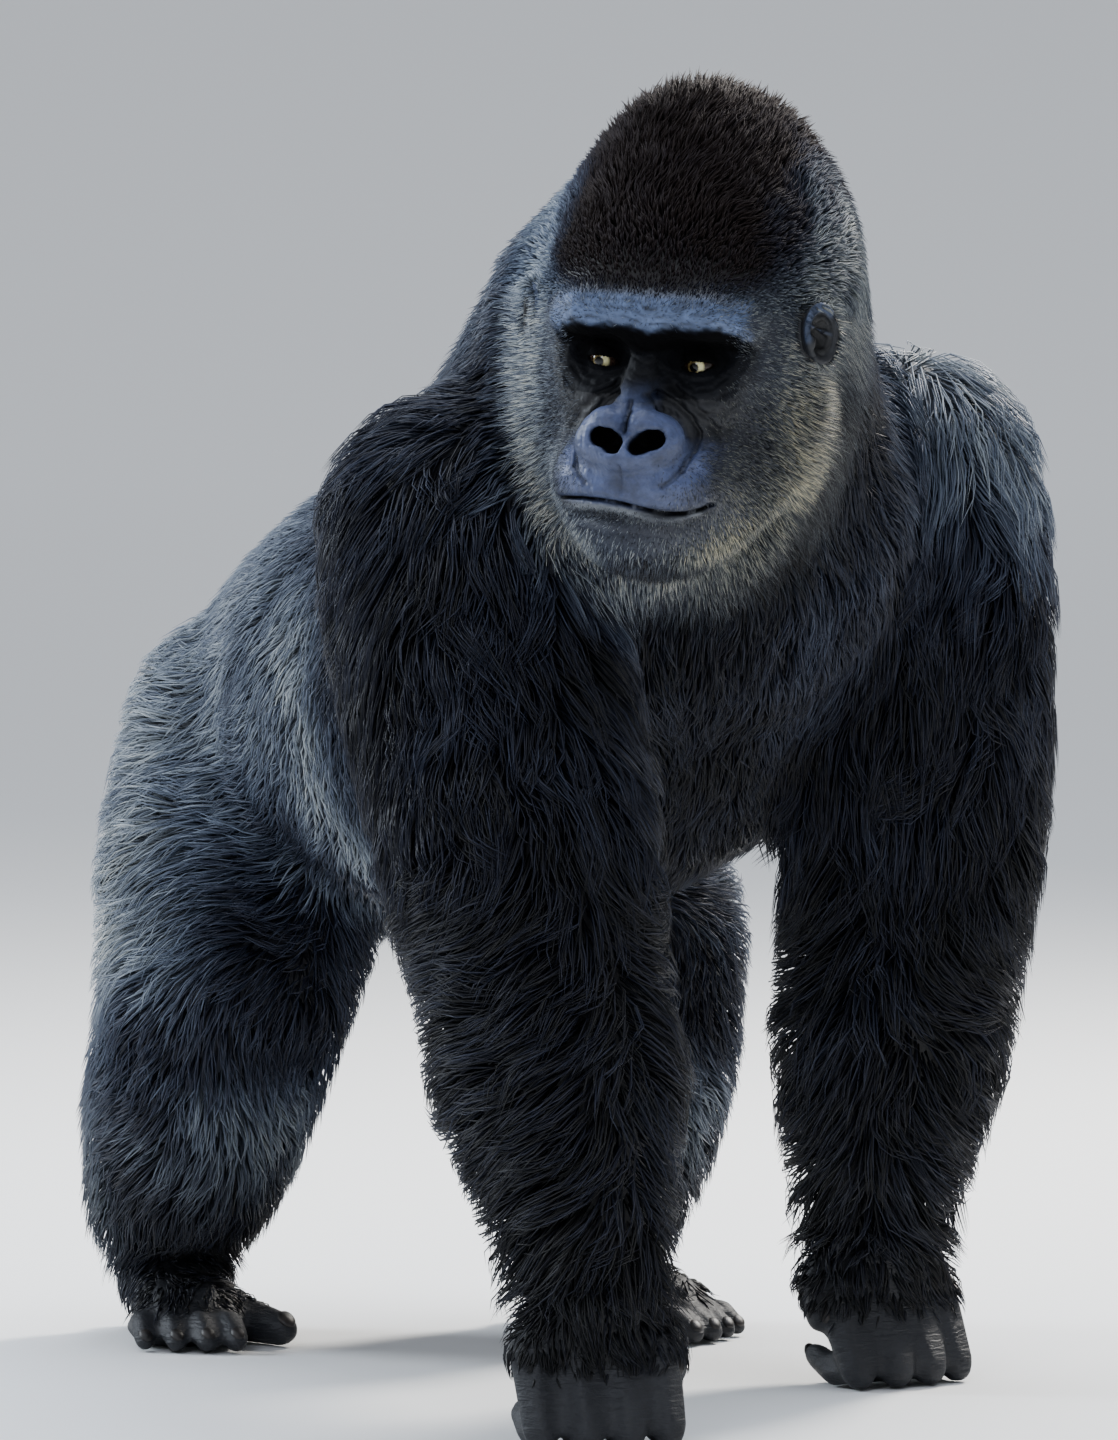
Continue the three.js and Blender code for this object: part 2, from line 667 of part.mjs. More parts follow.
const bodyField = blend([headField, neckField, trunkField], 60);
const spine = new THREE.CatmullRomCurve3([
  inHead(0, 110, 20),
  inHead(0, 175, -10),
  at(-45, -150, 850),
  at(-10, 0, 740),
  at(0, 180, 655),
  at(0, 370, 605),
  at(0, 520, 580),
  at(0, 668, 552),
]);
const neckStations = [0.04, 0.12, 0.2, 0.27];
const chestStations = [0.27, 0.33, 0.39, 0.46, 0.53, 0.6, 0.68];
const hipStations = [0.68, 0.76, 0.84, 0.91, 0.965, 1];
addPart('neck', fit(trim(loft(bodyField, spine, neckStations, bodySides), opposite(headCut))), paint.greyCoat);
addPart('chest', fit(loft(bodyField, spine, chestStations, bodySides)), paint.blackCoat);
addPart('hips', fit(loft(bodyField, spine, hipStations, bodySides, { freeEnd: true })), paint.silverCoat);

// The origin goes to the middle of the footprint, at floor level
const bounds = new THREE.Box3().setFromObject(group);
const middle = bounds.getCenter(at(0, 0, 0));
for (const mesh of group.children) {
  mesh.geometry.translate(-middle.x, -middle.y, -bounds.min.z);
}

export default group;
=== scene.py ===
import math
import time

import bmesh
import bpy
import numpy as np
import openvdb
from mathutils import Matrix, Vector
from mathutils.bvhtree import BVHTree
from mathutils.kdtree import KDTree


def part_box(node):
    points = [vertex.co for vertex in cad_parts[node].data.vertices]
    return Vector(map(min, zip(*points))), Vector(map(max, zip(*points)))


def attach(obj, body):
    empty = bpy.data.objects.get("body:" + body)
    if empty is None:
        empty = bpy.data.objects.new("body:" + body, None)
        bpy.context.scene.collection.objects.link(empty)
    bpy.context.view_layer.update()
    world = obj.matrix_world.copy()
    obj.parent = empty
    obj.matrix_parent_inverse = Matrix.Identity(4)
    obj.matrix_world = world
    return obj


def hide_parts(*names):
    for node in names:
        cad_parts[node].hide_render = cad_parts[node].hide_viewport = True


startTime = time.time()


def say(*words):
    print(*words, round(time.time() - startTime, 1), "s")


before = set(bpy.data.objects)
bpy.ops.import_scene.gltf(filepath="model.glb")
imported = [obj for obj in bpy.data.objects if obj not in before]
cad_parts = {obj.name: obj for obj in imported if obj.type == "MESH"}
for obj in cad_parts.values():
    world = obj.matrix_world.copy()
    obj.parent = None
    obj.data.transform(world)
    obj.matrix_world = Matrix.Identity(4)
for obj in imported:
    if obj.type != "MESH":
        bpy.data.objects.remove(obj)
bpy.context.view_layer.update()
mm = 0.001

eyeNodes = ["eye_right", "eye_left"]
nailNodes = sorted(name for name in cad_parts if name.startswith("nail_"))
fleshNodes = sorted(set(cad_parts) - set(eyeNodes) - set(nailNodes))


def kindOf(name):  # the body part without its side
    return name.replace("_right", "").replace("_left", "")


def putInScene(name, data):
    made = bpy.data.objects.new(name, data)
    bpy.context.scene.collection.objects.link(made)
    return made


def readOut(items, key, width=1, kind=np.float32):  # a row of numbers for each of a mesh's points or corners
    values = np.empty(len(items) * width, kind)
    items.foreach_get(key, values)
    return values.reshape(-1, width) if width > 1 else values


# Small tools for arrays of points

def unit(v):
    return v / np.maximum(np.linalg.norm(v, axis=-1, keepdims=True), 1e-9)


def centre(name):
    low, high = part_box(name)
    return np.array((low + high) / 2)


def smoothStep(low, high, x):
    t = np.clip((x - low) / (high - low), 0, 1)
    return t * t * (3 - 2 * t)


def melt(a, b, softness):  # the nearer of two surfaces, with a fillet between them
    h = np.maximum(softness - np.abs(a - b), 0) / softness
    return np.minimum(a, b) - h * h * softness * 0.25


def dig(a, b, softness):  # takes the second shape out of the first
    return -melt(-a, b, softness)


def egg(p, place, radii):
    q = (p - np.array(place, float)) / np.array(radii, float)
    reach = np.linalg.norm(q, axis=-1)
    slope = np.linalg.norm(q / np.array(radii, float), axis=-1)
    return reach * (reach - 1) / np.maximum(slope, 1e-6)


def rod(p, start, end, startRadius, endRadius):  # a swept ball, near enough for gentle tapers
    start, end = np.array(start, float), np.array(end, float)
    along = end - start
    t = np.clip(((p - start) @ along) / (along @ along), 0, 1)
    reach = np.linalg.norm(p - start - t[..., None] * along, axis=-1)
    return reach - (startRadius + t * (endRadius - startRadius))


def rods(p, balls, softness):  # balls is a list of (place, radius)
    shape = None
    for (start, r0), (end, r1) in zip(balls, balls[1:]):
        piece = rod(p, start, end, r0, r1)
        shape = piece if shape is None else melt(shape, piece, softness)
    return shape


def lineDistance(x, z, path):  # distance in the frontal plane to a line through the points of a path
    best = np.full(np.shape(x), 1e6)
    for (x0, z0), (x1, z1) in zip(path, path[1:]):
        dx, dz = x1 - x0, z1 - z0
        t = np.clip(((x - x0) * dx + (z - z0) * dz) / (dx * dx + dz * dz), 0, 1)
        best = np.minimum(best, np.hypot(x - x0 - t * dx, z - z0 - t * dz))
    return best


def ripple(p, wavelength, seed, waves=9):  # smooth noise of about -1 to 1 with one main wavelength
    rng = np.random.default_rng(seed)
    turn = unit(rng.normal(size=(waves, 3))) * (2 * math.pi / wavelength) * rng.uniform(0.7, 1.4, (waves, 1))
    phase = rng.uniform(0, 2 * math.pi, waves)
    total = np.zeros(p.shape[:-1])
    for k in range(waves):
        total += np.sin(p @ turn[k] + phase[k])
    return total / math.sqrt(waves)


# The head's own axes, in millimetres from the root of the nose: x to its left, y back, z up

headPlan = {"eyeDrop": 10, "eyeDepth": -1, "eyeAside": 42, "earBack": 66, "earUp": 16,
            "middle": (0, 90, 10), "reach": (150, 190, 240)}  # the head's own hair ends at this egg's edge


def headAxes():
    left = unit(centre("eye_left") - centre("eye_right"))
    eyes = (centre("eye_left") + centre("eye_right")) / 2
    ears = (centre("ear_left") + centre("ear_right")) / 2
    toEars = ears - eyes
    toEars = unit(toEars - (toEars @ left) * left)
    across = np.cross(left, toEars)
    rise = math.atan2(headPlan["earUp"] + headPlan["eyeDrop"], headPlan["earBack"] - headPlan["eyeDepth"])
    back = math.cos(rise) * toEars - math.sin(rise) * across
    up = math.sin(rise) * toEars + math.cos(rise) * across
    root = eyes + (up * headPlan["eyeDrop"] - back * headPlan["eyeDepth"]) * mm
    return root, np.stack([left, back, up])


headRoot, headTurn = headAxes()


def toHead(p):
    return (p - headRoot) @ headTurn.T / mm


# The face, sculpted as a distance field in the head's axes, in millimetres

face = {
    "eyeRadius": 14,
    "lidThickness": 2.6,
    "eyeOpening": (15.0, 4.3),  # half the width and half the height of the gap between the lids
    "eyeSlant": 0.10,
    "noseMiddle": -2.0,  # the nose and its openings lean a little to either side
    "nostrilMiddle": 3.0,
    "bareBack": 22,  # how far back the bare face goes
    "mouthLine": [(-72, -127), (-56, -123), (-38, -120), (-18, -119.5), (0, -121), (18, -125.5),
                  (34, -129.5), (48, -129.5), (60, -126), (68, -122)],
    "bareEdge": [(0, 53), (58, 51), (84, 45), (90, 22), (88, -10), (79, -40), (70, -75), (69, -108),
                 (64, -128), (46, -137), (22, -139), (0, -139)],
}


# Middle and half sizes of the rounded forms, on the animal's left where there are two
forms = {
    "cheek": ((66, 100, -50), (70, 96, 132)),
    "forehead": ((0, 68, 58), (100, 96, 90)),
    "middle": ((0, 36, -40), (88, 66, 74)),
    "muzzle": ((0, -14, -106), (84, 76, 40)),
    "muzzleRoot": ((0, 22, -112), (92, 80, 66)),
    "chin": ((0, -12, -152), (58, 68, 44)),
    "jaw": ((0, 40, -142), (92, 84, 72)),
    "socket": ((44, -28, -7), (30, 27, 17)),
    "noseWing": ((24, -61, -71), (24, 28, 26)),
    "noseTop": ((15, -74, -53), (16, 17, 13)),
    "noseTip": ((0, -72, -80), (30, 27, 20)),
    "nostril": ((10.5, -92, -70), (8.2, 17, 8.4)),
    "nostrilCorner": ((22.0, -84, -65), (10.8, 19, 8.8)),
}
# Ridges as a row of balls, each a place and a radius
ridges = {
    "brow": [((-83, 0, 26), 17), ((-50, -25, 36), 22), ((-14, -32, 37), 20), ((14, -32, 37), 20),
             ((50, -25, 36), 22), ((83, 0, 26), 17)],
    "bridge": [((0, -24, 10), 12), ((0, -38, -16), 11), ((0, -52, -36), 14), ((0, -62, -52), 18)],
}


def form(p, name, side=1):
    (x, y, z), radii = forms[name]
    return egg(p, (x * side, y, z), radii)


def headBulk(p):  # the big forms under the skin of the face
    sides = (-1, 1)
    cheeks = melt(*[form(p, "cheek", side) for side in sides], 30)
    bulk = melt(melt(cheeks, form(p, "forehead"), 40), form(p, "middle"), 34)
    cheekBones = melt(*[rod(p, (40 * side, -12, -46), (74 * side, 16, -26), 19, 22) for side in sides], 8)
    muzzle = melt(form(p, "muzzle"), form(p, "muzzleRoot"), 24)
    jaw = melt(form(p, "chin"), form(p, "jaw"), 24)
    front = melt(melt(melt(muzzle, jaw, 9), cheekBones, 16), rods(p, ridges["bridge"], 10), 12)
    return melt(melt(bulk, front, 20), rods(p, ridges["brow"], 10), 16)


def mirrored(p, middle):
    return np.stack([np.abs(p[:, 0] - middle), p[:, 1], p[:, 2]], 1)


def nosePad(p):
    q = mirrored(p, face["noseMiddle"])
    pad = melt(melt(form(q, "noseWing"), form(q, "noseTip"), 12), form(q, "noseTop"), 7)
    notch = rod(p, (2, -88, -34), (2, -95, -60), 4.5, 2.5)
    return dig(pad, notch, 9)


def nostrils(p):  # wide, comma-shaped openings that rise to the outside, close on either side of a thin wall
    q = mirrored(p, face["nostrilMiddle"])
    return melt(form(q, "nostril"), form(q, "nostrilCorner"), 8)


def eyeParts(p, side):  # the ball with its lids, and the gap between them
    q = p - np.array((headPlan["eyeAside"] * side, headPlan["eyeDepth"], -headPlan["eyeDrop"]))
    wide, high = face["eyeOpening"]
    x = q[:, 0] + 0.5 * side
    z = q[:, 2] - face["eyeSlant"] * side * q[:, 0] + 0.8
    arch = np.where(z > 0, high, high * 0.8) * np.sqrt(np.clip(1 - (x / wide) ** 2, 0, 1))
    gap = np.maximum(np.abs(z) - arch, np.abs(x) - wide)
    lids = np.linalg.norm(q, axis=1) - (face["eyeRadius"] + face["lidThickness"])
    return lids, np.maximum(gap, q[:, 1] + 4)


# Creases by side-blind x and z, with their width and depth in millimetres
wrinkles = [
    ([(0, -88), (0, -112)], 1.6, 2.4),  # groove under the nose
    ([(13, -31), (29, -40), (42, -51), (49, -65), (51, -79), (47, -92)], 2.6, 4.2),  # round the nose's wing
    ([(47, -92), (40, -101), (33, -106)], 2.2, 2.6),
    ([(24, -29), (42, -38), (57, -52), (66, -70), (71, -90), (74, -112)], 3.6, 2.6),  # beside the muzzle
    ([(22, -27), (38, -45), (52, -58), (58, -76)], 2.0, 1.0),
    ([(22, -17), (32, -26), (44, -30), (58, -27), (68, -18)], 2.0, 1.2),  # under the eye
    ([(20, -21), (30, -33), (46, -39), (62, -37), (74, -28)], 2.2, 1.5),
    ([(26, -30), (36, -41), (52, -48), (68, -47), (80, -38)], 2.4, 1.2),
    ([(46, -52), (60, -60), (72, -62), (82, -56)], 2.4, 0.9),
    ([(24, 3), (34, 8), (46, 9), (58, 6), (66, -2)], 2.0, 1.6),  # fold of the upper lid
]
onlyInFront = 5  # how many of them stop at the side of the muzzle


def waves(p):  # height in the face with the wander of a furrow
    x, z = p[:, 0], p[:, 2]
    return z + 2.6 * np.sin(x / 15) + 1.3 * np.sin(x / 5.7 + 1) + 1.5 * ripple(p, 24, 8)


def furrow(wavy, height, width):
    return np.exp(-((wavy - height) / width) ** 2)


def creases(p):
    x, y, z = p[:, 0], p[:, 1], p[:, 2]
    ax = np.abs(x)
    front = smoothStep(0, -25, y)
    total = np.zeros(len(p))
    wander = 1.6 * np.sin(x / 9 + 0.7) + 1.1 * np.sin(z / 6.3 + x / 17)

    def crease(path, width, depth, coord=ax):
        return depth * np.exp(-(lineDistance(coord + 0.5 * wander, z + 0.4 * wander, path) / width) ** 2)

    mouth = face["mouthLine"]
    total += front * 5.5 * np.exp(-(lineDistance(x, z, mouth) / 1.7) ** 2)
    total -= front * crease([(a, b + 6) for a, b in mouth], 4.5, 1.6, x)  # rolled upper lip
    total -= front * crease([(a * 0.84, b - 7.5) for a, b in mouth], 5.0, 3.0, x)  # lower lip
    total += front * crease([(a * 0.8, b - 17) for a, b in mouth], 5.0, 2.0, x)  # hollow above the chin
    total += front * crease([(2, -36), (0, -58)], 2.2, 4.0, x)  # groove on top of the nose
    for k, (path, width, depth) in enumerate(wrinkles):
        total += (front if k < onlyInFront else 1) * crease(path, width, depth)
    wavy = waves(p)
    patchy = 0.55 + 0.45 * ripple(p, 20, 9)
    for height, deep in ((46, 0.8), (40, 1.1), (35, 0.6), (30, 0.9)):  # lines along the brow
        total += deep * patchy * furrow(wavy, height, 1.3) * smoothStep(90, 60, ax) * smoothStep(5, -15, y)
    for height in (9, 2, -5, -12, -20):  # lines across the bridge
        total += 0.8 * furrow(wavy, height, 1.3) * smoothStep(15, 6, ax)
    return total


def faceField(p):
    pad = nosePad(p)
    shape = headBulk(p)
    sockets = melt(*[form(p, "socket", side) for side in (-1, 1)], 4)
    shape = dig(shape, sockets, 12)
    shape = melt(shape, pad, 7)
    shape = dig(shape, nostrils(p), 3)
    for side in (-1, 1):
        lids, gap = eyeParts(p, side)
        shape = melt(shape, lids, 5)
        shape = dig(shape, gap, 1.2)
    skinGrain = 0.25 * ripple(p, 11, 3) + 0.15 * ripple(p, 5, 4)
    return shape + creases(p) * smoothStep(14, 2, np.abs(shape)) + skinGrain


def bareDistance(q):  # how far a point in the head's axes lies outside the bare face
    x, y, z = np.abs(q[:, 0]), q[:, 1], q[:, 2]
    edge = face["bareEdge"]
    away = lineDistance(x, z, edge)
    heights = [b for _, b in edge][::-1]
    widths = [a for a, _ in edge][::-1]
    inside = x < np.interp(z, heights, widths, left=-1, right=-1)
    flat = np.where(inside, -away, away)
    return np.maximum(flat, y - face["bareBack"])


# Side 1 is the left ear and -1 the right, which lies deeper in the hair
earPlan = {"shift": {1: (0, -10, 0), -1: (3, 2, 0)}, "bare": {1: (23, 30), -1: (15, 24)},
           "turn": 0.62, "lean": -0.12, "scale": 0.84}


def earPlace(side):
    return toHead(centre("ear_left" if side > 0 else "ear_right")) + np.array(earPlan["shift"][side])


def earAxes(p, side):  # out of the bowl, towards the back edge, and up
    q = p - earPlace(side)
    turn, lean = earPlan["turn"], earPlan["lean"]
    x = math.cos(turn) * side * q[:, 0] - math.sin(turn) * q[:, 1]
    y = math.sin(turn) * side * q[:, 0] + math.cos(turn) * q[:, 1]
    return np.stack([x, math.cos(lean) * y - math.sin(lean) * q[:, 2],
                     math.sin(lean) * y + math.cos(lean) * q[:, 2]], 1) / earPlan["scale"]


def withEar(skull, p, side):  # a thin shell with a rolled rim round a deep bowl, grown on to the head's side
    e = earAxes(p, side)
    skull = skull / earPlan["scale"]
    shell = egg(e, (-2, 1, 0), (9, 20, 30))
    rimLine = (np.hypot(e[:, 1] / 18.5, e[:, 2] / 28) - 1) * 22
    rim = np.hypot(rimLine, e[:, 0] - 5) - 3.4
    bowl = melt(egg(e, (7, -3, -3), (10, 11, 17)), egg(e, (9, 3, 9), (7, 11, 13)), 3)
    inner = np.hypot((np.hypot((e[:, 1] - 1) / 11, (e[:, 2] + 1) / 17) - 1) * 13, e[:, 0] - 3.5) - 1.8
    fold = np.maximum(inner, -(e[:, 1] + 4))
    tragus = egg(e, (5, -14, -6), (5, 4.5, 7))
    fold = melt(fold, rod(e, (4, -13, 10), (3, 13, -4), 1.6, 2.4), 2)
    ear = melt(melt(skull, shell, 6), rim, 3)
    return melt(melt(dig(ear, bowl, 3), fold, 2.5), tragus, 3) * earPlan["scale"]


# The body, as a field of distances on a grid

# Smoothing in cells of the grid, and of the coarse grid for the regions' edges
bodyGrid = {"cell": 4.5 * mm, "pad": 9, "inside": 16, "smooth": 3.2, "coarse": 4, "regionSmooth": 1.3}


def surfaceOf(names):  # points, triangles and the number of each triangle's node
    points, triangles, owners, count = [], [], [], 0
    for k, name in enumerate(names):
        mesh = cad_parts[name].data
        mesh.calc_loop_triangles()
        points.append(readOut(mesh.vertices, "co", 3))
        triangles.append(readOut(mesh.loop_triangles, "vertices", 3, np.int32) + count)
        owners.append(np.full(len(triangles[-1]), k))
        count += len(points[-1])
    return np.concatenate(points), np.concatenate(triangles).astype(np.uint32), np.concatenate(owners)


def distanceGrid(names, cell, pad, inside, close=3 * mm):
    # thin gaps between neighbours are closed first, then distances are measured from the outer surface alone
    points, triangles, _ = surfaceOf(names)
    place = openvdb.createLinearTransform(voxelSize=cell)
    first = openvdb.FloatGrid.createLevelSetFromPolygons(points, triangles=triangles, transform=place)
    outer, quads = first.convertToQuads(isovalue=close)
    full = openvdb.FloatGrid.createLevelSetFromPolygons(
        outer, quads=quads, transform=place, exBandWidth=float(pad), inBandWidth=float(inside))
    low = np.floor(points.min(0) / cell).astype(int) - pad
    size = np.ceil(points.max(0) / cell).astype(int) + pad - low
    values = np.full(size, pad * cell, np.float32)
    full.copyToArray(values, ijk=tuple(int(v) for v in low))
    return {"values": values + close, "low": low * cell, "cell": cell}


def blur(values, spread):
    reach = int(math.ceil(2.5 * spread))
    weights = np.exp(-0.5 * (np.arange(-reach, reach + 1) / spread) ** 2)
    weights /= weights.sum()
    for axis in range(3):
        padded = np.concatenate([np.repeat(values.take([0], axis), reach, axis), values,
                                 np.repeat(values.take([-1], axis), reach, axis)], axis)
        total = np.zeros_like(values)
        for k, w in enumerate(weights):
            cut = [slice(None)] * 3
            cut[axis] = slice(k, k + values.shape[axis])
            total += np.float32(w) * padded[tuple(cut)]
        values = total
    return values


def sample(grid, p):  # values between the grid's points, for one number or several at each
    values = grid["values"]
    q = (p - grid["low"]) / grid["cell"]
    top = np.array(values.shape[:3]) - 1.001
    q = np.clip(q, 0, top)
    i = q.astype(int)
    f = q - i
    total = 0
    for corner in np.ndindex(2, 2, 2):
        x, y, z = (f[:, axis] if corner[axis] else 1 - f[:, axis] for axis in range(3))
        w = x * y * z
        v = values[i[:, 0] + corner[0], i[:, 1] + corner[1], i[:, 2] + corner[2]]
        total = total + (w[:, None] * v if values.ndim == 4 else w * v)
    return total


# The coat, region by region: lengths in millimetres, lie as a direction in the animal's axes

down = np.array((0.0, 0.0, -1.0))
coatPlan = {
    "neck": {"depth": 26, "length": 46, "width": 1.9, "lift": 0.5, "lie": (0, 0.6, -0.8)},
    "chest": {"depth": 20, "length": 38, "width": 1.9, "lift": 0.35, "lie": (0, 0.45, -0.9)},
    "hips": {"depth": 22, "length": 44, "width": 1.9, "lift": 0.45, "lie": (0, 0.85, -0.45)},
    "upper_arm": {"depth": 32, "length": 84, "width": 2.1, "lift": 0.35, "lie": (0, 0.05, -1)},
    "forearm": {"depth": 34, "length": 74, "width": 2.1, "lift": 0.5, "lie": (0.3, 0.85, -0.4)},
    "thigh": {"depth": 28, "length": 58, "width": 2.0, "lift": 0.45, "lie": (0.35, 0.9, -0.3)},
    "lower_leg": {"depth": 26, "length": 48, "width": 2.0, "lift": 0.5, "lie": (0.15, 0.6, -0.75)},
    "hand": {"depth": 1.5, "length": 14, "width": 2.2, "lift": 0.3, "lie": (0, -0.2, -1)},
    "foot": {"depth": 1.5, "length": 14, "width": 2.2, "lift": 0.3, "lie": (0, -0.8, -0.6)},
    "head": {"depth": 18, "length": 26, "width": 2.6, "lift": 0.5, "lie": (0, 0.5, -0.6)},
}
coatPlan["face"] = dict(coatPlan["head"], depth=1, length=6)
coatPlan["ear"] = dict(coatPlan["head"], depth=1, length=8)


def gridPoints(grid, step=1):
    ranges = [np.arange(0, n, step) for n in grid["values"].shape[:3]]
    index = np.stack(np.meshgrid(*ranges, indexing="ij"), -1)
    return index, index * grid["cell"] + grid["low"]


def buildCoatFields(outline):
    # one coarse grid holds, for each place, the coat's depth, length, width, lift and lie
    step = bodyGrid["coarse"]
    index, places = gridPoints(outline, step)
    shape = index.shape[:3]
    flat = places.reshape(-1, 3)
    near = outline["values"][index[..., 0], index[..., 1], index[..., 2]].reshape(-1)
    points, triangles, owners = surfaceOf(fleshNodes)
    tree = BVHTree.FromPolygons(points.tolist(), triangles.tolist())
    owner = np.zeros(len(flat), int)
    wanted = np.nonzero((near > -75 * mm) & (near < 40 * mm))[0]
    for k in wanted:
        found = tree.find_nearest(flat[k])
        owner[k] = owners[found[2]]
    rows = []
    for name in fleshNodes:
        plan = coatPlan[kindOf(name)]
        lie = np.array(plan["lie"], float)
        if name.endswith("_right"):
            lie[0] = -lie[0]
        rows.append([plan["depth"] * mm, plan["length"] * mm, plan["width"] * mm, plan["lift"], *unit(lie)])
    rows = np.array(rows)
    known = np.zeros(len(flat))
    known[wanted] = 1
    fields = rows[owner] * known[:, None]
    spread = bodyGrid["regionSmooth"]
    weight = blur(known.reshape(shape).astype(np.float32), spread) + 1e-4
    blurred = [blur(column.reshape(shape).astype(np.float32), spread) / weight for column in fields.T]
    coarse = {"values": np.stack(blurred, -1), "low": outline["low"], "cell": outline["cell"] * step}
    return coarse, dict(coarse, values=owner.reshape(shape))


outline = distanceGrid(fleshNodes, bodyGrid["cell"], bodyGrid["pad"], bodyGrid["inside"])
softOutline = dict(outline, values=blur(outline["values"], bodyGrid["smooth"]))
say("outline grid", outline["values"].shape)
coatFields, owners = buildCoatFields(outline)
say("coat fields", coatFields["values"].shape)


# The head's hair in millimetres; its depth is that at the bare face, with more on the cheeks and the crown
hairPlan = {"faceDepth": 3, "cheekDepth": 13, "crownDepth": 9, "crownLength": 22, "cheekLength": 8.5,
            "napeLength": 34, "cuffLength": 30}


def hairGrowth(q):  # how far the head's hair has come to its full length, from 0 at the bare face
    return smoothStep(-2, 70, bareDistance(q))


def headWeight(q):  # 1 on the head, falling to 0 behind and below it
    reach = np.linalg.norm((q - np.array(headPlan["middle"])) / np.array(headPlan["reach"]), axis=1)
    return smoothStep(1.25, 0.95, reach)


def faceWeight(q):  # 1 where the sculpted face is the skin
    return smoothStep(16, -2, bareDistance(q)) * smoothStep(60, 35, q[:, 1])


def coatDepth(p, q):  # how far the skin lies under the tips of the coat
    depth = sample(coatFields, p)[:, 0]
    onHead = headWeight(q)
    growth = hairGrowth(q)
    crown = smoothStep(40, 170, q[:, 2])
    headDepth = hairPlan["faceDepth"] + (hairPlan["cheekDepth"] + hairPlan["crownDepth"] * crown) * growth
    return depth * (1 - onHead) + headDepth * mm * onHead


# Hands and feet keep their digits, on finer grids of their own
digitNodes = ["hand_right", "hand_left", "foot_right", "foot_left"]
digitPlan = {"cell": 2.5 * mm, "pad": 8, "inside": 12, "close": 1 * mm, "smooth": 1.4}
digitGrids = {}
for name in digitNodes:
    grid = distanceGrid([name], digitPlan["cell"], digitPlan["pad"], digitPlan["inside"], digitPlan["close"])
    grid["values"] = blur(grid["values"], digitPlan["smooth"])
    digitGrids[name] = grid


def digitWeight(p, name):  # 1 well below the wrist or ankle, 0 above it
    low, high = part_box(name)
    middle = np.array((low + high) / 2)
    half = np.array((high - low) / 2) + 0.02
    inBox = np.all(np.abs(p - middle) < half, axis=1)
    return inBox * smoothStep(high.z - 0.005, high.z - 0.03, p[:, 2])


def digitsNear(p):  # 1 on any hand or foot
    return np.max([digitWeight(p, name) for name in digitNodes], axis=0)


def skinDistance(p):
    # the skin's own field: the outline less the coat's depth, with face, ears, hands and feet put in
    q = toHead(p)
    d = sample(softOutline, p) + coatDepth(p, q)
    for name in digitNodes:
        w = digitWeight(p, name)
        k = np.nonzero(w > 0)[0]
        if len(k):
            fine = sample(digitGrids[name], p[k]) + 1.0 * mm
            d[k] = d[k] * (1 - w[k]) + melt(d[k], fine, 6 * mm) * w[k]
    w = faceWeight(q)
    k = np.nonzero(w > 0)[0]
    if len(k):
        d[k] = d[k] * (1 - w[k]) + faceField(q[k]) * mm * w[k]
    for side in (-1, 1):
        k = np.nonzero(np.linalg.norm(q - earPlace(side), axis=1) < 55)[0]
        if len(k):
            d[k] = withEar(d[k] / mm, q[k], side) * mm
    return d


# The field is worked out only near the skin, in metres from the outline, and is level beyond its limit
skinBand = {"inner": -0.062, "outer": 0.02, "limit": 0.05}


def buildSkinField():
    index, places = gridPoints(outline)
    limit = skinBand["limit"]
    values = np.full(index.shape[:3], limit, np.float32)
    raw = softOutline["values"]
    spots = np.nonzero((raw > skinBand["inner"]) & (raw < skinBand["outer"]))
    p = places[spots]
    values[raw <= skinBand["inner"]] = -limit
    chunks = np.array_split(np.arange(len(p)), max(1, len(p) // 400000))
    found = np.concatenate([skinDistance(p[c]) for c in chunks])
    values[spots] = np.clip(found, -limit, limit)
    return dict(outline, values=values)


skinField = buildSkinField()
say("skin field", skinField["values"].shape)


def skinSlope(p, nudge=5 * mm):  # the way out of the skin, from its field
    out = np.empty_like(p)
    for axis in range(3):
        shift = np.zeros(3)
        shift[axis] = nudge
        out[:, axis] = (sample(skinField, p + shift) - sample(skinField, p - shift)) / (2 * nudge)
    return out


# The skin's mesh: each round of refining reaches so many millimetres past the bare face and from an ear's
# middle, and bodyShare is how much of the haired skin's faces stay
skinPlan = {"faceReach": (18, 4), "earReach": (46, 38), "digitRounds": 1, "bodyShare": 0.12}


def firstSkinMesh():  # an even net of small squares over the whole animal
    grid = openvdb.FloatGrid(background=skinBand["limit"])
    low = tuple(int(v) for v in np.round(skinField["low"] / skinField["cell"]))
    grid.copyFromArray(skinField["values"], ijk=low)
    grid.transform = openvdb.createLinearTransform(voxelSize=skinField["cell"])
    points, quads = grid.convertToQuads(isovalue=0.0)
    quads = quads[:, ::-1]
    bm = bmesh.new()
    verts = [bm.verts.new(p) for p in points.tolist()]
    for quad in quads.tolist():
        if len(set(quad)) == 4:
            bm.faces.new([verts[k] for k in quad])
    dropIslands(bm)
    return bm


def dropIslands(bm):  # keeps the largest connected part alone
    seen, islands = set(), []
    for start in bm.verts:
        if start in seen:
            continue
        stack, group = [start], []
        seen.add(start)
        while stack:
            v = stack.pop()
            group.append(v)
            for e in v.link_edges:
                other = e.other_vert(v)
                if other not in seen:
                    seen.add(other)
                    stack.append(other)
        islands.append(group)
    islands.sort(key=len)
    for group in islands[:-1]:
        bmesh.ops.delete(bm, geom=group, context="VERTS")


def pointsOf(bm):
    return np.array([v.co[:] for v in bm.verts])


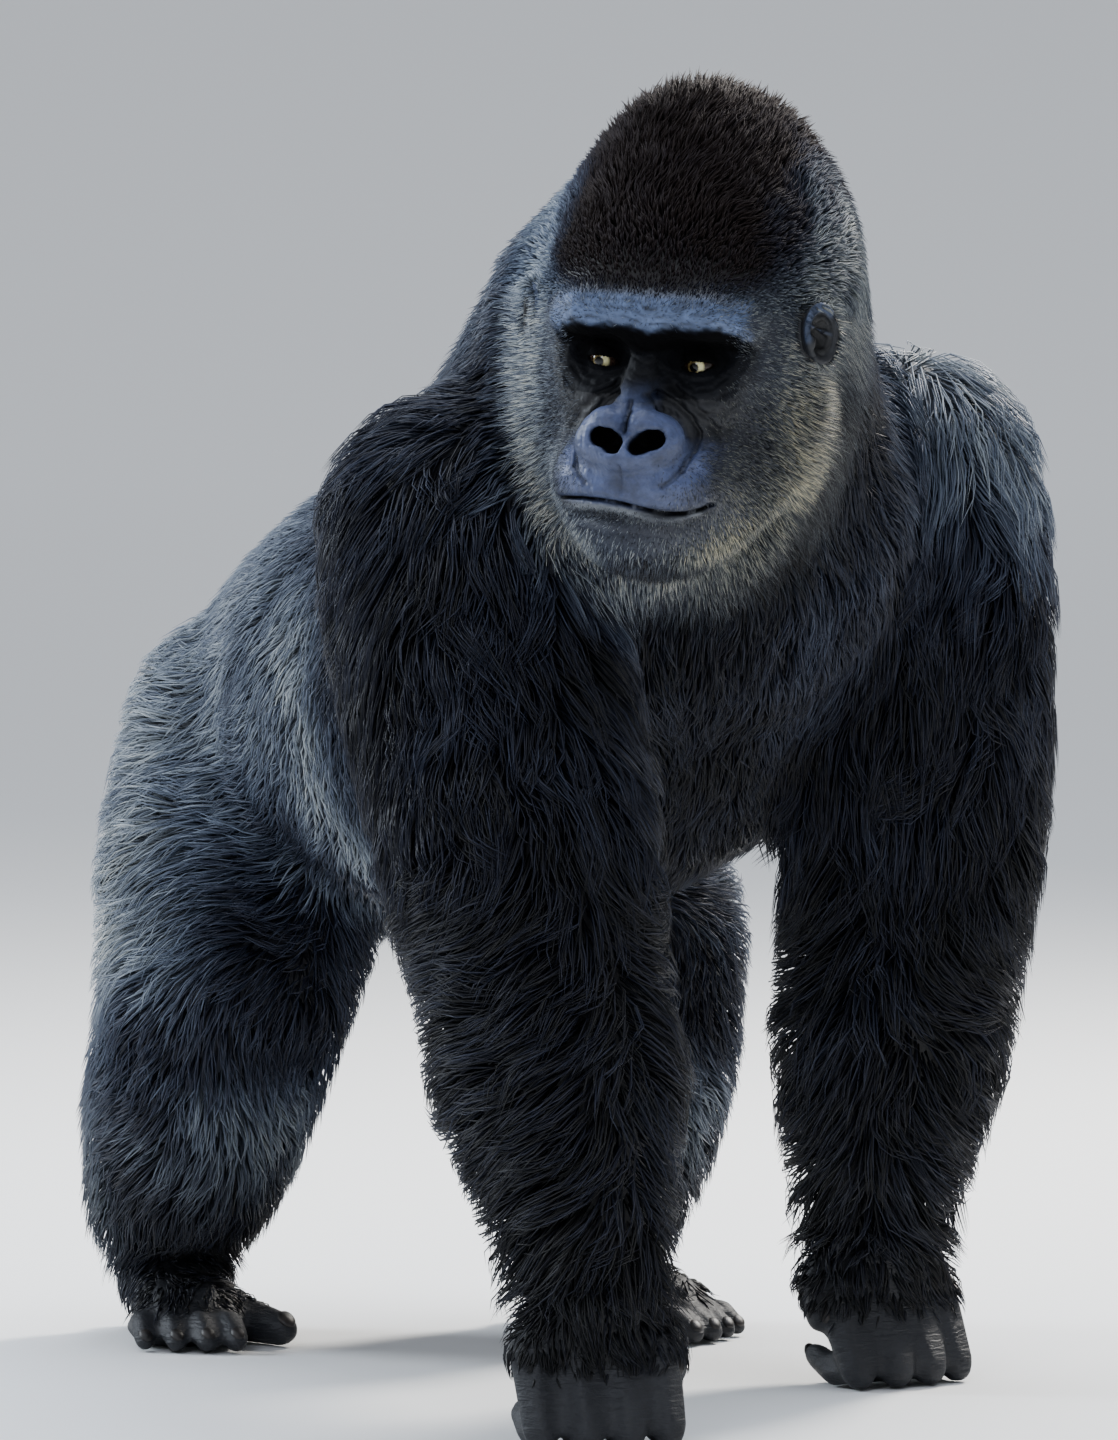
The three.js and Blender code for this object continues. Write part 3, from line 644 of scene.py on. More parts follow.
def refine(bm, chosen):  # splits the faces whose points are all chosen
    edges = set()
    bm.verts.ensure_lookup_table()
    for f in bm.faces:
        if all(chosen[v.index] for v in f.verts):
            edges.update(f.edges)
    bmesh.ops.subdivide_edges(bm, edges=list(edges), cuts=1, use_grid_fill=True)
    bm.verts.index_update()
    bm.verts.ensure_lookup_table()


def settle(bm, chosen, rounds=3, farthest=7 * mm):  # moves the chosen points on to the sculpted surface
    k = np.nonzero(chosen)[0]
    q = pointsOf(bm)[k]
    start = q.copy()
    nudge = 0.6 * mm
    for _ in range(rounds):
        d = skinDistance(q)
        g = np.stack([(skinDistance(q + np.eye(3)[axis] * nudge) - d) / nudge for axis in range(3)], 1)
        q = q - g * (d / np.maximum((g * g).sum(1), 0.3))[:, None] * 0.9
        move = q - start
        far = np.linalg.norm(move, axis=1, keepdims=True)
        q = start + move * np.minimum(1, farthest / np.maximum(far, 1e-9))
    q[:, 2] = np.maximum(q[:, 2], 0)  # nothing goes below the floor
    for i, place in zip(k, q.tolist()):
        bm.verts[i].co = place


def earNear(q, reach):
    near = np.zeros(len(q), bool)
    for side in (-1, 1):
        near |= np.linalg.norm(q - earPlace(side), axis=1) < reach
    return near


def thinOut(bm):
    # the haired skin needs few faces: only the face, ears, hands and feet keep them all
    p = pointsOf(bm)
    q = toHead(p)
    keep = (bareDistance(q) < 26) | earNear(q, 55) | (digitsNear(p) > 0)
    mesh = bpy.data.meshes.new("rawSkin")
    bm.to_mesh(mesh)
    bm.free()
    raw = putInScene("rawSkin", mesh)
    group = raw.vertex_groups.new(name="thin")
    group.add(np.nonzero(~keep)[0].tolist(), 1.0, "REPLACE")
    fewer = raw.modifiers.new("fewer", "DECIMATE")
    fewer.ratio = 1 - (1 - skinPlan["bodyShare"]) * (~keep).mean()
    fewer.vertex_group = "thin"
    fewer.vertex_group_factor = 8
    done = bpy.data.meshes.new_from_object(raw.evaluated_get(bpy.context.evaluated_depsgraph_get()))
    bpy.data.objects.remove(raw)
    bm = bmesh.new()
    bm.from_mesh(done)
    bpy.data.meshes.remove(done)
    bpy.data.meshes.remove(mesh)
    return bm


def buildSkin():  # fine on the face, ears, hands and feet, coarse where hair covers it
    bm = firstSkinMesh()
    say("skin, first mesh", len(bm.faces))
    bm = thinOut(bm)
    say("skin, thinned", len(bm.faces))
    for turn, reach in enumerate(skinPlan["faceReach"]):
        p = pointsOf(bm)
        q = toHead(p)
        chosen = (bareDistance(q) < reach) | earNear(q, skinPlan["earReach"][turn])
        if turn < skinPlan["digitRounds"]:
            chosen |= digitsNear(p) > 0.5
        refine(bm, chosen)
    p = pointsOf(bm)
    q = toHead(p)
    settle(bm, (bareDistance(q) < 20) | earNear(q, 48) | (digitsNear(p) > 0.2))
    say("skin settled")
    bmesh.ops.recalc_face_normals(bm, faces=bm.faces)
    mesh = bpy.data.meshes.new("skin")
    bm.to_mesh(mesh)
    bm.free()
    mesh.shade_smooth()
    return putInScene("skin", mesh)


skin = buildSkin()
skin.data.calc_loop_triangles()
say("skin", len(skin.data.vertices), "points,", len(skin.data.loop_triangles), "triangles")


# Materials

def colour(hexValue, alpha=1.0):
    channels = [int(hexValue[k:k + 2], 16) / 255 for k in (1, 3, 5)]
    return [c / 12.92 if c <= 0.04045 else ((c + 0.055) / 1.055) ** 2.4 for c in channels] + [alpha]


def newMaterial(name):
    material = bpy.data.materials.new(name)
    material.use_nodes = True
    material.node_tree.nodes.clear()
    return material, material.node_tree


def node(tree, kind, settings=None, inputs=None, links=None, stops=None):
    made = tree.nodes.new(kind)
    for key, value in (settings or {}).items():
        setattr(made, key, value)
    for key, value in (inputs or {}).items():
        made.inputs[key].default_value = value
    for key, source in (links or {}).items():
        if isinstance(source, bpy.types.Node):  # then its first output in use
            source = next(output for output in source.outputs if output.enabled)
        tree.links.new(source, made.inputs[key])
    if stops:  # places and colours along a colour ramp
        ramp = made.color_ramp.elements
        for end in (0, -1):
            ramp[end].position, ramp[end].color = stops[end][0], colour(stops[end][1])
        for place, tint in stops[1:-1]:
            ramp.new(place).color = colour(tint)
    return made


# Colours run from black to silver along one scale, shared by the skin and the coat
hairTints = ((0.0, "#05060a"), (0.16, "#0f1323"), (0.36, "#2a3143"), (0.6, "#5c6778"), (0.82, "#9aa3aa"),
             (1.0, "#cfd2cc"))
# muzzle and brow: bluish greys, partly the skin's own and partly painted sky reflection and sheen; socket: the
# near-black of painted shade in sockets, nostrils and creases
skinTints = {"bare": "#191b20", "muzzle": "#4f5b80", "brow": "#566788", "socket": "#040405", "lip": "#5d6166",
             "warm": "#211815", "ochre": "#ffedc4",
             "shade": "#85858b"}  # the skin between the hairs lies in their shade


# How silver each part of the coat is, from 0 for black to 1 for white; a few entries stand for light rather
# than colour: painted sheen on the left shoulder and on the tops of the arms, painted rim light on the shins,
# and painted shade between thigh and flank, which is taken away
coatShades = {
    "upperArm": 0.14, "armTop": 0.14, "leftShoulder": 0.44, "forearm": 0.09, "handAndFoot": 0.05,
    "trunk": 0.10, "saddle": 0.44, "side": 0.10, "flankStrip": 0.44, "groin": 0.34, "bib": 0.16,
    "thigh": 0.24, "thighSide": 0.48, "aboveKnee": 0.16, "shin": 0.16, "shinSide": 0.36, "kneePatch": 0.46,
    "neck": 0.11, "nape": 0.40, "crown": 0.06, "forehead": 0.16, "temple": 0.50, "templeSide": 0.14,
    "cheek": 0.40, "cheekSide": 0.24, "cheekFoot": 0.14, "jawRim": 0.18, "browStubble": 0.42,
    "chinStubble": 0.40, "chinTip": 0.15,
}


def hump(x, middle, spread):  # 1 at the middle, fading either way
    return np.exp(-((x - middle) / spread) ** 2)


def bodySilver(p, up):
    shade = coatShades
    x, y, z = p.T
    side = np.sign(x)
    facing = (up * unit(np.stack([side, 0.75 + 0 * x, 0.15 + 0 * x], 1))).sum(1)
    sideways = smoothStep(0.1, 0.8, up[:, 0] * side)
    flank = hump(y, 0.05, 0.055) * smoothStep(0.78, 0.68, z) * sideways
    # painted shade between the thigh and the flank, taken away from the silver
    groin = smoothStep(0.60, 0.50, z) * smoothStep(0.09, 0.16, y) * smoothStep(0.42, 0.28, y) * sideways
    bib = shade["bib"] * hump(x, 0.05, 0.08) * hump(z, 0.70, 0.10) * smoothStep(-0.15, -0.3, y)
    patch = up @ (0, -0.93, -0.3) - 0.15 * up[:, 0] * side + 0.18 * ripple(p, 0.06, 23)
    trunk = (shade["trunk"] + shade["saddle"] * smoothStep(-0.02, 0.20, y) + shade["side"] * sideways
             + shade["flankStrip"] * flank - shade["groin"] * groin + bib)
    kinds = {
        "hips": trunk,
        "chest": trunk,
        "thigh": (shade["thigh"] + shade["thighSide"] * smoothStep(-0.5, 0.6, facing)
                  + shade["aboveKnee"] * smoothStep(0.50, 0.32, z) * smoothStep(-0.9, 0, facing)),
        # painted rim light on the outer and back side of the shin
        "lower_leg": (shade["shin"] + shade["shinSide"] * smoothStep(0.1, 0.9, facing)
                      + shade["kneePatch"] * hump(z, 0.225, 0.065) * smoothStep(0.2, 0.9, patch)),
        # painted sunlit sheen on top of the left shoulder, and on the upward-facing tops of both arms
        "upper_arm": (shade["upperArm"] + shade["leftShoulder"] * smoothStep(0.1, 0.24, x)
                      * smoothStep(0.70, 0.84, z) * smoothStep(-0.1, 0.6, up @ (0.6, -0.2, 0.75))
                      + shade["armTop"] * smoothStep(0.55, 0.75, z) * smoothStep(0.3, 1, up[:, 2])),
        "forearm": shade["forearm"] + 0 * x,
        "neck": (shade["neck"] + bib
                 + shade["nape"] * smoothStep(-0.45, -0.3, y) * smoothStep(-0.4, 0.5, up[:, 2])),
        "hand": shade["handAndFoot"] + 0 * x,
        "foot": shade["handAndFoot"] + 0 * x,
    }
    body = np.zeros(len(p))
    total = np.full(len(p), 1e-6)
    shares = sample(nodeShares, p)
    for k, kind in enumerate(nodeKinds):
        if kind in kinds:
            body += shares[:, k] * kinds[kind]
            total += shares[:, k]
    return body / total


def headSilver(q, up, crown):
    shade = coatShades
    x, y, z = np.abs(q[:, 0]), q[:, 1], q[:, 2]
    temple = shade["temple"] + shade["templeSide"] * smoothStep(80, 120, x)
    cheek = (shade["cheek"] + shade["cheekSide"] * smoothStep(84, 116, x)
             + shade["cheekFoot"] * smoothStep(-60, -150, z)
             + shade["jawRim"] * smoothStep(-118, -175, z) * smoothStep(95, 60, y))
    upper = smoothStep(0, 50, z)
    head = temple * upper + cheek * (1 - upper)
    forehead = hump(q[:, 0], 22, 34) * hump(z, 78, 26)
    head = head * (1 - crown) + (shade["crown"] + shade["forehead"] * forehead) * crown
    head = head * (1 - 0.25 * smoothStep(150, 230, y))
    head = head * (1 - 0.6 * smoothStep(98, 140, y) * smoothStep(10, -50, z))  # darker behind the jaw: partly darker hair, partly painted shade
    # painted shade on the downward-facing hair under the chin
    return head * (1 - 0.7 * smoothStep(0.72, 0.98, -(up @ headTurn[2])) * smoothStep(-110, -150, z))


def markings(p, up):
    # silver: where the coat is pale, with painted sheen and shade in a few places; warm: where it is tinged
    # with brown; the third: where it is tinged with straw, which on the head grows on the animal's left as
    # painted warm reflected light
    q = toHead(p)
    x, z = q[:, 0], q[:, 2]
    onHead = headWeight(q)
    crown = (smoothStep(34, 66, z - 0.10 * np.abs(x))
             * smoothStep(120, 66, np.abs(x) + 0.12 * (z - 60) + 6 * ripple(q, 45, 24)))
    silver = bodySilver(p, up) * (1 - onHead) + headSilver(q, up, crown) * onHead
    silver = silver + 0.05 * ripple(p, 0.09, 21) + 0.03 * ripple(p, 0.03, 22)
    warm = onHead * crown * 0.8
    # a straw tint on the lower head, much stronger on the animal's left: partly the coat's own, partly painted
    # warm reflected light
    straw = smoothStep(40, -60, z) * (0.22 + 0.62 * smoothStep(-60, 80, x))
    ochre = onHead * (1 - crown) * np.maximum(straw, 0.5 * smoothStep(30, 90, x))
    ochre += 0.5 * (1 - onHead) * smoothStep(0.3, 0.12, p[:, 2])
    return silver, warm, ochre


def paintValues(mesh, values):
    for key, numbers in values.items():
        store = mesh.attributes.new(key, "FLOAT", "POINT")
        store.data.foreach_set("value", np.asarray(numbers, np.float32))


def faceMarks(q):  # where the bare face is bluish or pale, partly with painted sky reflection and sheen, and black or furrowed with painted shade
    x, y, z = q[:, 0], q[:, 1], q[:, 2]
    ax = np.abs(x)
    pad = nosePad(q)
    # the muzzle's bluish tint: partly the skin's own paler tone, partly painted sky reflection
    muzzle = np.maximum(smoothStep(9, -2, pad) * smoothStep(12, -8, y),
                        smoothStep(84, 54, ax) * smoothStep(-66, -84, z) * smoothStep(-132, -119, z)
                        * smoothStep(8, -20, y))
    bridge = smoothStep(20, 8, ax) * smoothStep(-16, -34, z) * smoothStep(-60, -50, z)
    muzzle = np.maximum(muzzle, 0.7 * bridge)
    muzzle *= 0.86 + 0.14 * ripple(q, 22, 17)
    muzzle *= 1 - 0.5 * np.exp(-((x / 12) ** 2 + ((z + 104) / 14) ** 2))  # shaded under the nose
    # painted shade towards the lower sides of the muzzle, by the corners of the mouth
    muzzle *= 1 - 0.35 * smoothStep(40, 66, ax) * smoothStep(-90, -112, z)
    # the pale brow, partly painted sheen on the top of the ridge, ends below in a wavy edge, over a black bar
    # of painted shadow under the brow that runs into the sockets
    edge = 22 + 2.2 * np.cos((ax - 40) / 14) - 7 * smoothStep(66, 84, ax)
    edge = edge + 2.0 * ripple(q, 26, 15) + 1.0 * ripple(q, 9, 16)
    brow = smoothStep(-3, 9, z - edge) * smoothStep(100, 80, ax) * smoothStep(60, 48, z)
    brow *= 0.8 + 0.2 * ripple(q, 22, 14)
    under = smoothStep(7, -3, z - edge) * smoothStep(92, 82, ax)
    hollowed = np.exp(-(np.hypot((ax - 43) / 41, (z + 1) / 23)) ** 3.0)
    bar = smoothStep(-8, 6, z)
    shade = 0.5 * smoothStep(-58, -16, z) * smoothStep(88, 70, ax)
    socket = under * np.maximum(np.maximum(hollowed, bar), shade)
    # painted shade, as dark as the sockets: inside the nostrils, in the notch on the nose and along the line of
    # the mouth
    hollow = smoothStep(-1.0, -7.0, melt(pad, headBulk(q), 7)) * smoothStep(6, 0, nostrils(q))
    lip = np.exp(-(lineDistance(x, z, [(a * 0.86, b - 7) for a, b in face["mouthLine"]]) / 4.0) ** 2)
    # creases darkened with painted shade, most of all along the mouth
    fold = np.clip(creases(q) / 4.0, 0, 1) * np.where(lineDistance(x, z, face["mouthLine"]) < 4, 1.0, 0.62)
    wavy = waves(q)
    for height in (45, 38, 31):  # painted shade in the furrows along the brow
        broken = np.clip(0.6 + 0.6 * ripple(q, 18, height), 0, 1)
        fold = np.maximum(fold, 0.6 * furrow(wavy, height, 1.5) * smoothStep(88, 60, ax) * broken)
    notch = np.exp(-(lineDistance(x, z, [(4, -43), (0, -60)]) / 2.8) ** 2) * smoothStep(-50, -60, y)
    mouth = np.exp(-(lineDistance(x, z, face["mouthLine"]) / 2.1) ** 2) * smoothStep(0, -20, y)
    socket = np.maximum(socket, np.maximum(0.97 * notch, 0.8 * mouth))
    return {"muzzle": muzzle, "brow": brow * (1 - muzzle), "socket": np.clip(socket + hollow, 0, 1),
            "lip": lip, "fold": fold}


mix = {"data_type": "RGBA"}
multiply = {"data_type": "RGBA", "blend_type": "MULTIPLY"}


def skinMaterial(name, ior):
    material, tree = newMaterial(name)
    marks = {key: node(tree, "ShaderNodeAttribute", {"attribute_name": key}).outputs["Fac"]
             for key in ("bare", "brow", "muzzle", "lip", "socket", "fold", "silver", "warm", "digit")}
    place = node(tree, "ShaderNodeNewGeometry").outputs["Position"]
    # blotches about 7 mm across, and pores as 4 mm cells, coarser than real ones so that they show
    hide = node(tree, "ShaderNodeTexNoise", None, {"Scale": 150.0, "Detail": 4.0, "Roughness": 0.65},
                {"Vector": place})
    pores = node(tree, "ShaderNodeTexVoronoi", {"feature": "DISTANCE_TO_EDGE"}, {"Scale": 260.0},
                 {"Vector": place})
    # the brow's pale blue is partly painted sheen on the top of the ridge
    tint = node(tree, "ShaderNodeMix", mix, {"A": colour(skinTints["bare"]), "B": colour(skinTints["brow"])},
                {"Factor": marks["brow"]})
    # the muzzle's bluish tint, partly painted sky reflection, and the pale lower lip
    for key in ("muzzle", "lip"):
        tint = node(tree, "ShaderNodeMix", mix, {"B": colour(skinTints[key])},
                    {"A": tint, "Factor": marks[key]})
    dapple = node(tree, "ShaderNodeMapRange", None,
                  {"From Min": 0.3, "From Max": 0.7, "To Min": 0.72, "To Max": 1.2}, {"Value": hide})
    tint = node(tree, "ShaderNodeMix", multiply, {"Factor": 1.0}, {"A": tint, "B": dapple})
    # painted shade: sockets, nostrils, the mouth line, creases and the ears' bowls mixed nearly to black
    for key in ("socket", "fold"):
        tint = node(tree, "ShaderNodeMix", mix, {"B": colour(skinTints["socket"])},
                    {"A": tint, "Factor": marks[key]})
    hair = node(tree, "ShaderNodeValToRGB", None, None, {"Fac": marks["silver"]}, hairTints)
    hair = node(tree, "ShaderNodeMix", mix, {"B": colour(skinTints["warm"])},
                {"A": hair, "Factor": marks["warm"]})
    under = node(tree, "ShaderNodeMix", multiply, {"Factor": 1.0, "B": colour(skinTints["shade"])}, {"A": hair})
    whole = node(tree, "ShaderNodeMix", mix, None, {"Factor": marks["bare"], "A": under, "B": tint})
    # wrinkles across the fingers, 3 to 6 mm apart
    across = node(tree, "ShaderNodeVectorMath", {"operation": "MULTIPLY"}, {1: (60.0, 60.0, 300.0)},
                  {0: place})
    lines = node(tree, "ShaderNodeTexNoise", None, {"Scale": 1.0, "Detail": 3.0, "Distortion": 0.6},
                 {"Vector": across})
    knuckles = node(tree, "ShaderNodeMath", {"operation": "MULTIPLY"}, None, {0: lines, 1: marks["digit"]})
    relief = node(tree, "ShaderNodeMath", {"operation": "MULTIPLY_ADD"}, {1: 0.5}, {0: pores, 2: hide})
    relief = node(tree, "ShaderNodeMath", {"operation": "MULTIPLY_ADD"}, {1: 3.0}, {0: knuckles, 2: relief})
    bump = node(tree, "ShaderNodeBump", None, {"Strength": 0.5, "Distance": 0.0014}, {"Height": relief})
    matt = node(tree, "ShaderNodeMapRange", None, {"To Min": 0.6, "To Max": 0.4}, {"Value": marks["muzzle"]})
    matter = node(tree, "ShaderNodeMath", {"operation": "MULTIPLY_ADD", "use_clamp": True}, {1: 0.3},
                  {0: marks["socket"], 2: matt})
    finish = node(tree, "ShaderNodeBsdfPrincipled", None, {"IOR": ior},
                  {"Base Color": whole, "Roughness": matter, "Normal": bump})
    node(tree, "ShaderNodeOutputMaterial", links={"Surface": finish})
    return material


def buildNodeShares():
    # how much of each kind of body part is near each place, on the coarse grid
    names = [kindOf(name) for name in fleshNodes]
    kinds = sorted(set(names))
    owner = owners["values"]
    known = coatFields["values"][..., 0] > 0
    grids = []
    for kind in kinds:
        here = np.isin(owner, [k for k, name in enumerate(names) if name == kind]) & known
        grids.append(blur(here.astype(np.float32), 1.6))
    return dict(owners, values=np.stack(grids, -1)), kinds


nodeShares, nodeKinds = buildNodeShares()


def paintSkin():  # the same markings as the coat's, and the bare skin's own, with painted shade, sheen and highlights on the face and ears
    place, _, up = skinTriangles()
    q = toHead(place)
    silver, warm, ochre = markings(place, up)
    bare = smoothStep(7, -3, bareDistance(q))
    bare *= 1 - 0.75 * smoothStep(-128, -140, q[:, 2]) * (headWeight(q) > 0.5)
    for side in (-1, 1):
        reach = np.linalg.norm(earAxes(q, side) * (0.9, 1.2, 0.85), axis=1)
        bare = np.maximum(bare, smoothStep(34, 26, reach))
    digit = digitsNear(place)
    bare = np.maximum(bare, digit)
    near = np.nonzero(bareDistance(q) < 30)[0]
    marks = {key: np.zeros(len(place)) for key in ("muzzle", "brow", "socket", "lip", "fold")}
    for key, values in faceMarks(q[near]).items():
        marks[key][near] = values * smoothStep(24, 4, bareDistance(q[near]))
    # painted light on the muzzle: paler where it faces up, darker where it faces down
    marks["muzzle"] *= 0.55 + 0.45 * smoothStep(-0.5, 0.6, up @ headTurn[2])
    for side in (-1, 1):
        e = earAxes(q, side)
        # the ear's bowl darkened nearly to black as painted shade
        inEar = smoothStep(24, 14, np.linalg.norm((e - (4, -2, -1)) * (0.7, 1.4, 0.9), axis=1))
        marks["fold"] = np.maximum(marks["fold"], inEar * 0.97)
        # painted highlight along the upper rim and the inner ridge, in the brow's pale blue
        rim = smoothStep(7, 3, np.abs(np.hypot(e[:, 1] / 19.5, e[:, 2] / 29) - 1) * 23)
        rim *= smoothStep(-2, 3, e[:, 0])
        rim *= smoothStep(2, 14, e[:, 2] - 0.6 * e[:, 1]) * smoothStep(40, 30, np.linalg.norm(e, axis=1))
        ridge = np.exp(-(lineDistance(e[:, 1], e[:, 2], [(-13, 10), (13, -4)]) / 1.8) ** 2) * inEar
        marks["fold"] *= 1 - 0.6 * ridge * smoothStep(-1, 3, e[:, 0])
        marks["brow"] = np.maximum(marks["brow"], np.maximum(0.45 * rim, 0.4 * ridge))
    paintValues(skin.data, {"silver": silver, "warm": warm, "ochre": ochre, "bare": bare,
                            "digit": digit, **marks})


# Where the hair lies and how long it is

def headLie(q):  # the way the hair lies on the head, in the animal's axes
    x, y, z = q[:, 0], q[:, 1], q[:, 2]
    away = unit(np.stack([x, np.zeros_like(x), z + 50], 1))
    top = smoothStep(30, 90, z)
    behind = smoothStep(90, 200, y)
    lie = away * (0.55 + 0.3 * top)[:, None]
    lie[:, 1] += 0.35 + 0.45 * top
    lie[:, 2] += -0.55 * (1 - top) - 1.1 * behind
    return unit(lie) @ headTurn


def cuffShare(p, name):  # 1 round a wrist or ankle, where the limb's hair hangs over the hand or foot
    low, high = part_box(name)
    middle = np.array((low + high) / 2)
    half = np.array((high - low) / 2) + 0.05
    inBox = np.all(np.abs(p - middle)[:, :2] < half[:2], axis=1)
    above = p[:, 2] - high.z
    return inBox * smoothStep(0.09, 0.01, above) * smoothStep(-0.09, -0.04, above)


def coatAt(p):  # depth, length, width, lift and lie at each place
    q = toHead(p)
    values = sample(coatFields, p)
    _, length, width, lift = values[:, :4].T
    lie = values[:, 4:7]
    onHead = headWeight(q)
    growth = hairGrowth(q)
    crown = smoothStep(40, 150, q[:, 2])
    nape = smoothStep(90, 190, q[:, 1]) * (1 - crown)
    cheek = hairPlan["cheekLength"]
    headLength = cheek + (hairPlan["crownLength"] - cheek) * crown + (hairPlan["napeLength"] - cheek) * nape
    headLength = headLength * (0.35 + 0.65 * growth) * mm
    length = length * (1 - onHead) + headLength * onHead
    width = width * (1 - onHead) + (1.2 + 0.5 * growth) * mm * onHead
    lift = lift * (1 - onHead) + (0.85 + 0.9 * smoothStep(95, 165, q[:, 2])) * onHead
    lie = unit(lie * (1 - onHead)[:, None] + headLie(q) * onHead[:, None])
    for name in digitNodes:
        cuff = cuffShare(p, name)
        lie = unit(lie * (1 - cuff)[:, None] + np.array((0, 0.15, -1)) * cuff[:, None])
        length = np.maximum(length, hairPlan["cuffLength"] * mm * cuff)
    return coatDepth(p, q), length, width, lift, lie, q, onHead


tuftPlan = {
    "spacing": 5.2,       # millimetres between tufts on the body
    "crownSpacing": 2.5,  # on the crown
    "cheekSpacing": 1.9,  # and on the rest of the head
    "stubbleSpacing": 1.7,
    "stubble": (3.6, 0.75, 2.4),  # length, width and height of the stubble
    "sink": 1.2,          # how deep the roots go into the skin
    "stubbleSink": 0.4,
    "profile": (0.85, 1.0, 0.7),  # width of each ring from the root up, as a share of the tuft's own
    "patch": 0.003,       # size of a tuft's patch in the bake's map
    "seed": 41,
}


def skinTriangles():
    mesh = skin.data
    mesh.calc_loop_triangles()
    corner = readOut(mesh.loop_triangles, "vertices", 3, np.int32)
    place = readOut(mesh.vertices, "co", 3)
    return place.astype(float), corner, readOut(mesh.vertices, "normal", 3).astype(float)


def hairShare(middle, q):  # how thickly the coat grows: not on the bare face, in the ears or on the digits
    share = smoothStep(-4, 5, bareDistance(q))
    for side in (-1, 1):
        reach = np.linalg.norm((earAxes(q, side) + (0, 3 * side, 0)) * (0.9, 1.1, 0.85), axis=1)
        share *= smoothStep(*earPlan["bare"][side], reach)
    for name in digitNodes:
        low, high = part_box(name)
        upper = (middle[:, 2] - low.z) / (high.z - low.z)
        share *= 1 - digitWeight(middle, name) * smoothStep(0.62, 0.42, upper)
    return share


def stubbleShare(middle, q):  # fine short hairs on the brow, the sides of the muzzle, the lips and the chin
    ax, z = np.abs(q[:, 0]), q[:, 2]
    brow = 0.25 * smoothStep(22, 36, z) + 0.8 * smoothStep(44, 54, z)
    chin = smoothStep(-126, -134, z) * 1.3
    lip = smoothStep(24, 56, ax) * smoothStep(-76, -92, z) * 0.5
    edge = smoothStep(-24, -4, bareDistance(q)) * 0.9
    share = np.maximum(np.maximum(brow, chin), np.maximum(lip, edge))
    share *= smoothStep(6, -2, bareDistance(q))
    share *= smoothStep(2.5, 5, lineDistance(q[:, 0], z, face["mouthLine"]))
    for k in (-1, 1):
        share *= smoothStep(1.0, 1.25, np.hypot((q[:, 0] - headPlan["eyeAside"] * k) / 30, (z + 8) / 22))
    return share


def scatterRoots(rng, shareOf, spacingOf):
    place, corner, normal = skinTriangles()
    a, b, c = place[corner[:, 0]], place[corner[:, 1]], place[corner[:, 2]]
    area = np.linalg.norm(np.cross(b - a, c - a), axis=1) / 2
    middle = (a + b + c) / 3
    q = toHead(middle)
    wanted = area / (spacingOf(q) * mm) ** 2 * shareOf(middle, q)
    edges = np.cumsum(wanted)
    count = int(edges[-1])
    spots = np.arange(count) + rng.uniform(0, 1, count)
    owner = np.minimum(np.searchsorted(edges, spots), len(corner) - 1)
    u, v = rng.uniform(0, 1, (2, count))
    flip = u + v > 1
    u[flip], v[flip] = 1 - u[flip], 1 - v[flip]
    w = 1 - u - v
    weight = np.stack([w, u, v], 1)[..., None]
    root = (place[corner[owner]] * weight).sum(1)
    up = unit((normal[corner[owner]] * weight).sum(1))
    return root, up


def coatSpacing(q):
    onHead = headWeight(q)
    crown = smoothStep(30, 38, q[:, 2])
    headSpacing = tuftPlan["crownSpacing"] * crown + tuftPlan["cheekSpacing"] * (1 - crown)
    return tuftPlan["spacing"] * (1 - onHead) + headSpacing * onHead


def growTufts(root, up, rng, steps, stubble=False):
    # each tuft follows the lie of the coat over the skin, and rises to its own share of the coat's depth
    depth, length, width, lift, lie, q, onHead = coatAt(root)
    if stubble:
        length, width, depth = (np.full(len(root), size * mm) for size in tuftPlan["stubble"])
    count = len(root)
    length = length * rng.uniform(0.6, 1.3, count)
    path = np.empty((count, steps + 1, 3))
    normals = np.empty((count, steps + 1, 3))
    place = root - up * tuftPlan["stubbleSink" if stubble else "sink"] * mm
    path[:, 0] = place
    normals[:, 0] = up
    curl = rng.normal(0, 0.3, count) * (1 - onHead)
    swirl = (0.35 * ripple(root, 0.16, 11) + 0.25 * ripple(root, 0.05, 12)
             + rng.normal(0, 0.12, count) * (1 + 1.5 * onHead))
    n = up
    heightShare = rng.uniform(0.72, 1.08, count)
    wisps = smoothStep(120, 180, q[:, 2]) * rng.uniform(0, 1, count) ** 2  # a few stand up on the crest
    heightShare += 0.45 * onHead * wisps
    for k in range(1, steps + 1):
        t = k / steps
        flow = lie - (lie * n).sum(1, keepdims=True) * n
        flow = unit(flow)
        side = np.cross(n, flow)
        turn = swirl + curl * t
        flow = flow * np.cos(turn)[:, None] + side * np.sin(turn)[:, None]
        rise = (lift * (1 - t) * 1.2)[:, None]
        step = unit(flow + n * rise + down * 0.15)
        place = place + step * (length / steps)[:, None]
        height = sample(skinField, place)
        n = unit(skinSlope(place))
        target = depth * heightShare * (1 - (1 - t) ** 2)
        gap = target - height
        place = place + n * (np.where(gap > 0, gap, gap * 0.75))[:, None]
        path[:, k] = place
        normals[:, k] = n
    return path, normals, width * rng.uniform(0.7, 1.25, count)


